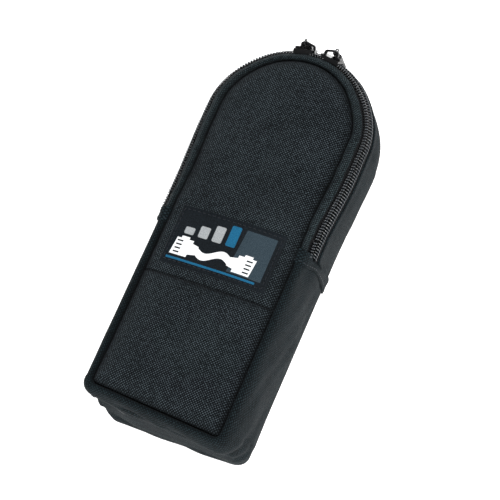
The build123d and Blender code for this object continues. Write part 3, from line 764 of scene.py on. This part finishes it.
# ---------------------------------------------------------------- side walls
FLANK = [(1.1, DEPTH - 0.5), (2.3, DEPTH - 0.35), (3.9, DEPTH - 1.7), (5.2, DEPTH - 4.6), (6.1, 45.0), (6.8, 38.5),
         (7.1, 31.0), (6.9, 23.0), (6.1, 15.5), (4.8, 8.6)]
LOWER_LINE = [(0.1, DEPTH - 3.4), (0.3, DEPTH - 1.9), *FLANK, (3.1, 3.4), (1.9, 1.1), (1.05, 0.5)]
UPPER_LINE = [(8.35, 42.5), (9.0, 42.3), (9.35, 41.2), (9.1, 38.5), (8.75, 35.0), (8.3, 30.0), (7.5, 22.0),
              (6.4, 14.0), (4.6, 7.0), (2.9, 2.7), (1.9, 1.0), (1.05, 0.5)]


def lower_shift(x, y, z):
    """How the lower wall departs from its section: set in at the left foot, full at the right foot."""
    middle = hump(z, 2, 20, 34, 50)
    left_foot = hump(-x, 16, 34, 60, 80) * (1 - smooth(y, -104, -86))
    right_foot = hump(x, 22, 36, 60, 80) * (1 - smooth(y, -108, -92))
    foot = 1 - smooth(y, -112, -106)
    s = np.where(np.abs(y - BOTTOM_Y) < 6, x, y)
    e = -2.9 * left_foot * middle + 0.7 * right_foot * middle - 1.2 * foot * middle
    e = e - 0.9 * hump(y, -40, -24, -16, -10) * hump(z, 10, 24, 40, 50) * (x > 0)
    turn_x, turn_y = np.maximum(CORNER_R - PANEL_R - x, 0), np.maximum(BOTTOM_Y + CORNER_R - y, 0)
    diagonal = 2 * turn_x * turn_y / np.maximum(turn_x ** 2 + turn_y ** 2, 1e-6)
    e = e + 1.3 * diagonal * smooth(np.hypot(turn_x, turn_y) - CORNER_R, 0.6, 4.0) * hump(z, 45, 50, 56, 60)
    slanted = 1.7 * ripple(s * 0.5 + z * 0.9, s * 0.12, 8.0, 2.9) * hump(z, 3, 14, 44, 53)
    e = e + 1.5 * ripple(s, z, 22.0, 1.7) * middle + slanted * (0.55 + 0.6 * foot + 0.6 * right_foot)
    return e


def along_side(x, y):
    """Distance up a side and on over the arch."""
    angle = np.degrees(np.arctan2(x, np.maximum(y - ARCH_Y, 1e-6)))
    return np.where(y > ARCH_Y, ARCH_Y + np.abs(angle) * 0.7, y)


def upper_shift(x, y, z):
    """How the upper wall departs from its section: fuller beside the flap on the right."""
    s = along_side(x, y) * np.sign(x + 1e-9)
    middle = hump(z, 2, 14, 30, 40)
    right = 1.0 * hump(y, 10, 40, 75, 100) * (x > 0)
    return middle * (right + 0.7 * ripple(s, z, 20.0, 4.4)) + 0.16 * ripple(s, z, 8.0, 6.1) * smooth(z, 3, 10)


def side_walls():
    """The lower wall, the upper wall, and the lining of each."""
    lower = wall("lower_wall", foot_path(HEM_Y), skin(curve_through(LOWER_LINE, 4), FABRIC), SHADED_WALL_MAT, lower_shift)
    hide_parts("lower_gusset")
    upper = wall("upper_wall", arch_path(HEM_Y), skin(curve_through(UPPER_LINE, 4), FABRIC), SHADED_WALL_MAT, upper_shift)
    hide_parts("upper_gusset", "gusset_zipper_edge")
    low_line = curve_through([(3.3, 47.5), (4.3, 40.0), (4.5, 26.0), (3.6, 12.0), (1.0, 4.2)], 5)
    low_lining = wall("lower_wall_lining", foot_path(HEM_Y, 2.5), skin(low_line, 0.4), LINING_MAT,
                      lambda x, y, z: np.minimum(lower_shift(x, y, z) + 0.6, 0.0))
    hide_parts("lower_gusset_lining")
    up_line = curve_through([(4.8, 40.6), (4.7, 30.0), (4.4, 20.0), (3.4, 10.0), (1.0, 4.2)], 5)
    up_lining = wall("upper_wall_lining", arch_path(HEM_Y, 2.5), skin(up_line, 0.4), LINING_MAT)
    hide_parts("upper_gusset_lining")
    for piece, slot in ((lower, "pouch_fabric"), (upper, "pouch_fabric"), (low_lining, "pouch_lining"),
                        (up_lining, "pouch_lining")):
        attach(piece, "root")


HEM_LINE = [(0.45, DEPTH - 1.5), *FLANK, (3.5, 4.2)]
HEM_ROW = 8             # the ring of points that the hem's width is measured on
HEM_SEAM = (-HEM_H + 1.3, 1.12)         # the hem's stitches: across from its top edge, and proud of the wall
HEM_ACROSS = [(-HEM_H - 0.2, 0.05), (-HEM_H, 0.75), (-HEM_H + 1.0, 1.05), (-4.2, 1.0), (-1.6, 1.1), (-0.5, 1.35),
              (0.25, 1.15), (0.55, 0.4), (0.3, -0.1)]


def hem_point(sign, e, z, normal, across, proud):
    """A point of the folded hem: across from its top edge, proud of the wall. It climbs towards the back."""
    climb = 3.2 * smooth(DEPTH - z, 1, 18)
    y = HEM_Y + across + climb
    out = e + normal[0] * proud
    return (sign * (PANEL_R + out), y, z + normal[1] * proud)


def hems():
    """Folded and stitched upper edges of the lower wall, over the ends of the zipper."""
    line = curve_through(HEM_LINE, 4)
    t = tangents(line)
    normals = np.stack([-t[:, 1], t[:, 0]], axis=1)
    sewn = []
    for side, sign in (("right", 1), ("left", -1)):
        grid = []
        for (e, z), normal in zip(line, normals):
            shift = float(lower_shift(sign * (PANEL_R + e), HEM_Y - 4, z)) * 0.4
            ring = [hem_point(sign, e + shift, z, normal, a, p) for a, p in curve_through(HEM_ACROSS, 3)]
            back = [hem_point(sign, e + shift, z, normal, a, -0.25) for a in (0.0, -HEM_H / 2, -HEM_H)]
            grid.append(ring + back)
        grid = np.array(grid)
        ring = grid[HEM_ROW]
        across = run_length(np.vstack([ring, ring[:1]]))
        piece = surface(f"{side}_hem_band", settle(grid), run_length(line), across, SHADED_WALL_MAT, ring=True, caps=True)
        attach(piece, "root")
        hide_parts(f"{side}_hem")
        seam = [hem_point(sign, e, z, normal, *HEM_SEAM) for (e, z), normal in zip(line, normals)]
        sewn += stitches_on(settle(seam), proud=0.03)
    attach(tubes("hem_stitches", sewn, THREAD_R, 6, THREAD_MAT, taper=True), "root")


# ---------------------------------------------------------------- zipper
def strip_line():
    """Outer line of the rolled strip between the front seam and the coil."""
    return curve_through([(0.1, DEPTH - 3.2), (0.35, DEPTH - 1.7), (1.1, DEPTH - 0.45), (2.0, DEPTH - 0.25),
                          (2.8, DEPTH - 1.1), on_tape(-5.2, 1.05), on_tape(-4.65, 0.9), on_tape(-4.4, 0.4)], 4)


def strip_shift(x, y, z):
    """Puckers of the strip; the left side's are its own."""
    s = along_side(x, y) + 300 * (x < 0)
    return 0.36 * ripple(s, 0 * z, 5.5, 8.8) + 0.34 * ripple(s, 0 * z, 19.0, 3.9) - 0.1


def part_at(base):
    """How far the two halves of the zipper stand apart at points of the panel edge."""
    angle = np.degrees(np.arctan2(base[..., 0], base[..., 1] - ARCH_Y))
    first, last = PART_DEG
    return PART_HALF * hump(angle, first - 1, first + 3, last - 3, last + 1) * (base[..., 1] > ARCH_Y)


def tape(name, sign, y_low):
    """One woven tape: sign is -1 for the front half and 1 for the back half."""
    path = arch_path(y_low)
    half = np.linspace(TAPE_HALF, MESH_GAP, 7)
    w = sign * np.maximum(np.concatenate([half, half[::-1]])[None, :], MESH_GAP + part_at(path[0])[:, None])
    n = np.repeat([TAPE_T / 2, -TAPE_T / 2], 7)[None, :]
    across = np.concatenate([np.linspace(0, TAPE_HALF, 7), np.linspace(TAPE_HALF, 2 * TAPE_HALF, 7), [2 * TAPE_HALF]])
    return surface(name, settle(swept(path, *on_tape(w, n))), run_length(path[0]), across, TAPE_MAT, ring=True,
                   caps=True)


PITCH, WIRE = 1.6, 0.33         # from tooth to tooth of one half, and radius of the wire
# One tooth: its place along the pitch, across from the middle of the chain, and above the tape.
TOOTH = [(0.00, -3.05, 0.50), (0.06, -3.10, 1.20), (0.20, -2.70, 1.90), (0.38, -1.75, 2.15), (0.57, -0.80, 1.60),
         (0.72, 0.05, 0.85), (0.76, -0.10, 0.45), (0.83, -1.30, 0.20), (0.91, -2.50, 0.12), (0.96, -3.00, 0.20)]


def coil(name, sign, y_from, y_to):
    """Spiral of teeth along the chain: from y_from to y_to on each side, or all round the arch if y_to is None.
    sign is -1 for the front half and 1 for the back half, whose teeth lie between the others."""
    reach = PANEL_R + CHAIN_E
    side, arc = ARCH_Y - y_from, pi * reach
    total = 2 * side + arc if y_to is None else y_to - y_from
    lines, shades = [], []
    for flip in ((1,) if y_to is None else (1, -1)):
        points = []
        for k in range(int(total / PITCH)):
            for t, w, n in TOOTH:
                s = (k + t + (0.5 if sign > 0 else 0.0)) * PITCH
                if s > total:
                    continue
                if y_to is not None or s < side:
                    base, out = np.array([flip * PANEL_R, y_from + s]), np.array([flip, 0.0])
                elif s < side + arc:
                    a = (s - side) / reach
                    out = np.array([cos(a), sin(a)])
                    base = np.array([0, ARCH_Y]) + PANEL_R * out
                else:
                    base, out = np.array([-PANEL_R, ARCH_Y - (s - side - arc)]), np.array([-1.0, 0.0])
                e, z = on_tape(sign * (float(part_at(base)) - w), n)
                points.append((*(base + out * e), z, n))
        line = curve_through(points, 2)
        lines.append(settle(line[:, :3]))
        # Painted shade: each wire is painted near-black where it lies low over the tape; only its crests keep the
        # coil's colour.
        shades.append(1 - smooth(line[:, 3], 1.1, 2.0))
    return tubes(name, lines, WIRE, 6, COIL_MAT, painted_shade=shades)


FILLER_W, FILLER_N, FILLER_R = 2.1, 1.1, 0.5         # across the chain, above the tape, and radius


def filler(name, sign, paths):
    """The soft core inside a half's spiral, along each path."""
    lines = [settle(line_at(path, *on_tape(sign * (FILLER_W + part_at(path[0])), FILLER_N))) for path in paths]
    return tubes(name, lines, FILLER_R, 8, CORE_MAT, taper=True)


def zipper():
    """The rolled strip, both tapes, the spirals with their cores, and the stitches beside them."""
    strip = wall("front_strip", arch_path(HEM_Y), skin(strip_line(), 0.8), STRIP_MAT, strip_shift)
    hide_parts("flap_strip", "front_strip_ends")
    front = tape("front_tape", -1, HEM_Y)
    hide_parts("zipper_front_tape", "zipper_front_tape_ends")
    for piece in (strip, front):
        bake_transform(piece)
    back = tape("back_tape", 1, HEM_Y)
    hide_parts("zipper_back_tape")
    flap_teeth = coil("flap_teeth", -1, FOLD_Y + 0.4, None)
    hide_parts("zipper_front_coil")
    fold_teeth = coil("front_teeth_ends", -1, HEM_Y - 1.5, FOLD_Y - 0.2)
    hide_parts("zipper_front_coil_ends")
    back_teeth = coil("back_teeth", 1, HEM_Y - 1.5, None)
    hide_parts("zipper_back_coil")
    for piece, body in ((back, "root"), (flap_teeth, "flap"), (fold_teeth, "root"), (back_teeth, "root")):
        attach(piece, body)
    ends = [path_of([side_run(side, HEM_Y - 1.5, FOLD_Y - 0.2, 1.0)]) for side in (1, -1)]
    for name, sign, paths, body in (("flap_teeth_filler", -1, [arch_path(FOLD_Y + 0.4, 1.0)], "flap"),
                                    ("front_ends_filler", -1, ends, "root"),
                                    ("back_teeth_filler", 1, [arch_path(HEM_Y - 1.5, 1.0)], "root")):
        core = filler(name, sign, paths)
        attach(core, body)
    for name, (e, z), long, mat in (("zipper_topstitch", (9.15, 39.2), 2.1, THREAD_MAT),
                                    ("tape_stitches", on_tape(3.95, 0.45), 0.9, COIL_THREAD_MAT)):
        seam = stitches_on(settle(line_at(arch_path(HEM_Y, 1.0), e, z)), length=long, gap=0.7)
        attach(tubes(name, seam, THREAD_R, 6, mat, taper=True), "root")


def bindings():
    """Ribbed tapes folded over the seam allowances inside."""
    def band(low, high):
        return curve_through([(-0.3, low), (-0.25, (low + high) / 2), (-0.35, high - 0.4), (-0.9, high),
                              (-1.45, high - 0.4), (-1.55, (low + high) / 2), (-1.5, low)], 3)
    top = DEPTH - STACK - 0.05
    parts = (("back_binding", whole_path(), band(STACK + 0.05, STACK + 6), True, "back_seam_binding", "root"),
             ("front_binding", foot_path(FOLD_Y - 0.2), band(top, top - 6), False, "front_seam_binding", "root"),
             ("flap_binding", arch_path(FOLD_Y + 0.2), band(top, top - 6), False, "flap_seam_binding", "flap"))
    for name, path, section, loop, cad, body in parts:
        piece = wall(name, path, section, BINDING_MAT, loop=loop)
        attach(piece, body)
        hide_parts(cad)


# ---------------------------------------------------------------- label
BORDER = 2.0            # how far in from the label's edge its stitches run
LABEL_SUNK = 0.4        # how far the label's under side lies below the front


def label_height(x, y):
    """Outer side of the label, which lies on the padded front."""
    return front_height(np.asarray(x, float), np.asarray(y, float)) + LABEL_T


def box_outline(x, y, w, h):
    """Outline of a rectangle about (x, y)."""
    return [(x - w / 2, y - h / 2), (x + w / 2, y - h / 2), (x + w / 2, y + h / 2), (x - w / 2, y + h / 2)]


def rounded_outline(w, h, r, step=2.0):
    """Outline of a rounded rectangle about the origin."""
    pts = []
    for k, (right, up) in enumerate(((1, 1), (-1, 1), (-1, -1), (1, -1))):
        for a in np.radians(90 * k + np.arange(0, 91, 30)):
            pts.append((right * (w / 2 - r) + r * cos(a), up * (h / 2 - r) + r * sin(a)))
    out = []
    for a, b in zip(pts, pts[1:] + pts[:1]):
        n = max(1, round(hypot(b[0] - a[0], b[1] - a[1]) / step))
        out += [(a[0] + (b[0] - a[0]) * k / n, a[1] + (b[1] - a[1]) * k / n) for k in range(n)]
    return out


SUNK = 0.3              # how deep a raised shape goes into the face that it is set on
CUT_STEP = 2.0          # how close together it can bend


def raised(name, outlines, top, proud, mat, body, cuts=()):
    """Thin shapes set on a face whose height is top(x, y). cuts are the (axis, place) lines they can bend on."""
    bm, layer, _ = new_mesh()
    for outline in outlines:
        bm.faces.new([bm.verts.new((x, y, 0.0)) for x, y in outline])
    for axis, at in cuts:
        place, direction = [0.0] * 3, [0.0] * 3
        place[axis], direction[axis] = at, 1.0
        bmesh.ops.bisect_plane(bm, geom=bm.verts[:] + bm.edges[:] + bm.faces[:], plane_co=place,
                               plane_no=direction)
    low_side = bmesh.ops.extrude_face_region(bm, geom=bm.faces[:])["geom"]
    low_verts = {g for g in low_side if isinstance(g, bmesh.types.BMVert)}
    for v in bm.verts:
        v.co.z = float(top(v.co.x, v.co.y)) + (-SUNK if v in low_verts else proud)
    plan_uvs(bm, layer)
    piece = finish_mesh(name, bm, mat)
    for face in piece.data.polygons:
        face.use_smooth = False
    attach(piece, body)


def inlay(name, outlines, proud, mat):
    """Woven shapes that follow the label. Outlines are about the label's middle."""
    placed = [[(x, y + LABEL_Y) for x, y in outline] for outline in outlines]
    cuts = [(0, at) for at in np.arange(-LABEL_W / 2, LABEL_W / 2, CUT_STEP)]
    cuts += [(1, at) for at in np.arange(LABEL_Y - LABEL_H / 2, LABEL_Y + LABEL_H / 2, CUT_STEP)]
    raised(name, placed, label_height, proud, mat, "root", cuts)


def leaning(points, lean, at):
    """Points sheared and moved."""
    return [(at[0] + x + lean * y, at[1] + y) for x, y in points]


def across_label(size, count):
    """Places across the label, close together at its edges."""
    edge = np.array([0, 0.25, 0.6, 1.2])
    return np.concatenate([edge, np.linspace(2.4, size - 2.4, count), size - edge[::-1]]) - size / 2


def label():
    """Woven patch with a generic picture of a network lead, four level bars and a rule."""
    x, y = np.meshgrid(across_label(LABEL_W, 28), across_label(LABEL_H, 16), indexing="ij")
    edge = np.minimum(LABEL_W / 2 - np.abs(x), LABEL_H / 2 - np.abs(y))
    y = y + LABEL_Y
    turned_down, pulled_in = 0.45 * np.exp(-edge / 0.25), 0.14 * np.exp(-((edge - BORDER) / 0.5) ** 2)
    upper = np.stack([x, y, label_height(x, y) - turned_down - pulled_in], axis=2)
    under = np.stack([x, y, front_height(x, y) - LABEL_SUNK], axis=2)[:, ::-1]
    grid = np.concatenate([upper, under], axis=1)
    blank = np.zeros(max(grid.shape) + 1)
    patch = surface("label_cloth", grid, blank, blank, LABEL_MAT, ring=True, caps=True, plan=True)
    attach(patch, "root")
    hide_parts("label_patch")
    border = rounded_outline(LABEL_W - 2 * BORDER, LABEL_H - 2 * BORDER, 0.8)
    x, y = np.array(border + border[:1]).T
    y = y + LABEL_Y
    sewn = stitches_on(np.stack([x, y, label_height(x, y) + 0.02], axis=1), length=2.0, gap=1.0)
    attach(tubes("label_stitches", sewn, LABEL_THREAD_R, 6, LABEL_THREAD_MAT, taper=True), "root")
    label_picture()


def label_picture():
    """The woven shapes, placed from the label's middle."""
    field = [(7.5, -12.0), (27.0, -12.0), (27.0, 13.0), (9.5, 13.0)]
    inlay("label_field", [field], 0.03, LABEL_FIELD_MAT)
    bars = []
    for k, tall in enumerate((4.0, 6.6, 9.2, 11.8)):
        bars.append(leaning(rounded_outline(5.6, tall, 0.8), 0.0, (-21.0 + 8.2 * k, 1.4 + tall / 2)))
    inlay("label_bars", bars[:3], 0.08, GREY_MAT)
    plug = [(-7.4, -4.9), (2.6, -4.9), (2.6, -3.3), (6.6, -2.5), (6.6, 2.5), (2.6, 3.3), (2.6, 4.9), (-0.4, 4.9),
            (-0.4, 6.2), (-5.0, 6.2), (-5.0, 4.9), (-7.4, 4.9)]
    mirror_plug = [(-x, y) for x, y in plug][::-1]
    middle = [(t, 2.0 * sin(t * 2 * pi / 19.4)) for t in np.linspace(-9.7, 9.7, 25)]
    lead = [(a, b + 2.1) for a, b in middle] + [(a, b - 2.1) for a, b in middle[::-1]]
    lean, (left, middle_x, right), lead_y = 0.1, (-19.2, -3.1, 13.0), -6.4
    inlay("label_lead", [leaning(shape, lean, (x, lead_y)) for shape, x in
                         ((plug, left), (mirror_plug, right), (lead, middle_x))], 0.12, WHITE_MAT)
    contacts = []
    for x in (left - 4.5, right + 4.5):
        contacts += [leaning(box_outline(0, 0, 3.4, 0.84), lean, (x, -9.7 + 2.2 * k)) for k in range(4)]
    inlay("label_contacts", contacts, 0.16, LABEL_MAT)
    inlay("label_rule", [box_outline(-1.8, -13.5, 52.4, 1.2), bars[3]], 0.07, BLUE_MAT)


# ---------------------------------------------------------------- hard parts that stay as CAD nodes
SHARP = radians(35)         # edges that turn by more than this get a bevel


def dress(names, mat, edge=0.0):
    """Gives CAD nodes a material, and a small bevel on their sharp edges."""
    for name in names:
        obj = NODES[name]
        obj.data.materials.clear()
        obj.data.materials.append(mat)
        if edge:
            mod = obj.modifiers.new("edge", "BEVEL")
            mod.width = edge * MM
            mod.segments = 2
            mod.limit_method = "ANGLE"
            mod.angle_limit = SHARP
            mod.harden_normals = True
            mod.use_clamp_overlap = True


def hard_parts():
    """The sliders, the pulls and the contents: nodes, material and bevel."""
    both = ("left", "right")
    for names, mat, edge in (
            ([f"{s}_slider_{part}" for s in both for part in ("body", "crown")], METAL_MAT, 0.22),
            ([f"{s}_pull_ring" for s in both], METAL_MAT, 0.0),
            ([f"{s}_pull_tab" for s in both], METAL_MAT, 0.2),
            (["tester_front_case", "remote_front_case"], CASE_MAT, 0.25),
            (["tester_back_case", "remote_back_case", "battery_door"], BACK_CASE_MAT, 0.25),
            (["tester_face"], FACE_MAT, 0.1),
            (["power_button", "test_button", "tone_button"], BUTTON_MAT, 0.0),
            (["tester_display"], glass_material(), 0.1),
            (["tester_display_module"], MODULE_MAT, 0.2),
            (["tester_circuit_board", "remote_circuit_board"], board_material(), 0.0),
            (["tester_key_switches"], SWITCH_MAT, 0.2),
            (["tester_jack", "remote_jack"], JACK_MAT, 0.15),
            (["remote_plug"], PLUG_MAT, 0.2),
            (["battery"], BATTERY_MAT, 0.6),
            (["tester_screws"], SCREW_MAT, 0.0)):
        dress(names, mat, edge)


# Heights of the faces that the details stand on, the keys, the display, and a lamp's profile.
FACE_TOP, KEY_TOP, GLASS_TOP, REMOTE_TOP = 39.5, 40.6, 39.2, 38.0
KEY_X, KEY_Y = 19.0, -46.0
GLASS_W, GLASS_H, GLASS_Y = 46.0, 34.0, 4.0
LAMP = [(0.15, 0.75), (0.7, 0.68), (1.15, 0.42), (1.35, 0.12), (1.75, 0.12), (1.85, -0.3)]


def turned(name, places, profile, mat, body, sides=20):
    """Small round parts as one object: a profile of (radius, height) turned about each place."""
    bm, layer, _ = new_mesh()
    angles = [2 * pi * k / sides for k in range(sides)]
    for x, y, z in places:
        rings = [[bm.verts.new((x + r * cos(a), y + r * sin(a), z + h)) for a in angles] for r, h in profile]
        for inner, outer in zip(rings, rings[1:]):
            for k in range(sides):
                bm.faces.new((inner[k - 1], inner[k], outer[k], outer[k - 1]))
        bm.faces.new(rings[0])
        bm.faces.new(rings[-1])
    plan_uvs(bm, layer)
    piece = finish_mesh(name, bm, mat)
    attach(piece, body)


def key_marks():
    """Plain symbols on the three keys: a power ring, a triangle and a wave."""
    def arc(r, a0, a1):
        return [(-KEY_X + r * cos(radians(a)), KEY_Y + r * sin(radians(a))) for a in np.linspace(a0, a1, 25)]
    ring = arc(2.6, 125, 415) + arc(1.9, 415, 125)
    triangle = [(-1.6, KEY_Y - 2.2), (2.4, KEY_Y), (-1.6, KEY_Y + 2.2)]
    wave = [(KEY_X + t, KEY_Y + 1.3 * sin(t * 1.4)) for t in np.linspace(-3.4, 3.4, 25)]
    ribbon = [(x, y + 0.4) for x, y in wave] + [(x, y - 0.4) for x, y in wave[::-1]]
    for key, shapes in (("power", [ring, box_outline(-KEY_X, KEY_Y + 2.0, 0.7, 2.4)]), ("test", [triangle]),
                        ("tone", [ribbon])):
        raised(f"{key}_key_mark", shapes, lambda x, y: KEY_TOP, 0.06, PRINT_MAT, f"{key}_button")


def display_details():
    """Frame of the display, and the wire map that it shows: eight lines with square ends."""
    outer, inner = [box_outline(0, GLASS_Y, GLASS_W + more, GLASS_H + more) for more in (5.0, -0.4)]
    sides = [[outer[k - 1], outer[k], inner[k], inner[k - 1]] for k in (1, 2, 3, 0)]
    raised("display_frame", sides, lambda x, y: FACE_TOP, 0.35, FRAME_MAT, "tester")
    ink = []
    for k in range(8):
        y = GLASS_Y - 11.9 + 3.4 * k
        ink += [box_outline(0, y, 26.0, 0.45), box_outline(-14.2, y, 1.9, 1.9), box_outline(14.2, y, 1.9, 1.9)]
    raised("display_map", ink, lambda x, y: GLASS_TOP, 0.05, INK_MAT, "tester")


def unit_details():
    """Lamps on both units, and finger ribs on the remote."""
    key_marks()
    display_details()
    for unit, step, y, z, slot in (("tester", 6.0, -24.0, FACE_TOP, "face_film"),
                                   ("remote", 5.0, 55.0, REMOTE_TOP, "case_plastic")):
        turned(f"{unit}_lamps", [(step * (k - 3.5), y, z) for k in range(8)], LAMP, LAMP_MAT, unit)
    ribs = [[(x, 64.0 + 2.6 * k, REMOTE_TOP + 0.28) for x in np.linspace(-17.0, 17.0, 18)] for k in range(5)]
    grip = tubes("remote_grip", ribs, 0.55, 10, CASE_MAT, taper=True)
    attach(grip, "remote")


# ---------------------------------------------------------------- floor, light and camera
FLOOR_GLOW, SKY_STRENGTH = 0.7, 0.32
LIT_POINT = (0, 0, 0.03)
LENS, SENSOR = 144.0, 36.0
CAMERA_PLACE = (0.3833, -0.3068, 0.9917)
CAMERA_RIGHT, CAMERA_UP = (0.89167, 0.39051, -0.22897), (-0.28450, 0.87684, 0.38757)


def stage():
    """The pale floor, which glows a little."""
    bpy.ops.mesh.primitive_plane_add(size=8.0, location=(0, 0, -0.00005))
    floor = bpy.context.object
    floor.name = "floor"
    mat, tree, shader = material("floor", 0.9, Specular_IOR_Level=0.1)
    tree.links.new(ramp(tree, noise_of(tree, 3.0), [(0.3, (0.93, 0.93, 0.93)), (0.7, (0.95, 0.95, 0.95))]),
                   shader.inputs["Base Color"])
    shader.inputs["Emission Color"].default_value = (1.0, 1.0, 1.0, 1.0)
    shader.inputs["Emission Strength"].default_value = FLOOR_GLOW
    floor.data.materials.append(mat)


def area_light(name, place, size, power):
    """A square light that faces the pouch."""
    data = bpy.data.lights.new(name, "AREA")
    data.shape = "SQUARE"
    data.size = size
    data.energy = power
    lamp = add_object(name, data)
    lamp.location = place
    lamp.rotation_euler = (Vector(LIT_POINT) - Vector(place)).to_track_quat("-Z", "Y").to_euler()


def lights():
    """A white sky and three lamps."""
    world = bpy.data.worlds.new("studio")
    world.use_nodes = True
    sky = world.node_tree.nodes["Background"]
    sky.inputs[0].default_value = (1.0, 1.0, 1.0, 1.0)
    sky.inputs[1].default_value = SKY_STRENGTH
    bpy.context.scene.world = world
    area_light("key", (0.5, 0.15, 0.98), 0.4, 12.5)
    area_light("fill", (0.0, -0.9, 0.45), 0.6, 8.0)
    area_light("rim", (-0.9, 0.5, 0.3), 0.6, 2.2)


def camera():
    """The camera that was fitted to the photo."""
    data = bpy.data.cameras.new("camera")
    data.lens, data.sensor_width = LENS, SENSOR
    data.clip_start, data.clip_end = 0.05, 20.0
    cam = add_object("camera", data)
    right, up = Vector(CAMERA_RIGHT), Vector(CAMERA_UP)
    turn = Matrix((right, up, right.cross(up))).transposed()
    cam.matrix_world = Matrix.Translation(CAMERA_PLACE) @ turn.to_4x4()
    bpy.context.scene.camera = cam


bpy.context.scene.view_settings.view_transform = "Standard"
camera()
lights()
stage()
front_pads()
linings()
back_pad()
side_walls()
hems()
zipper()
bindings()
label()
hard_parts()
unit_details()
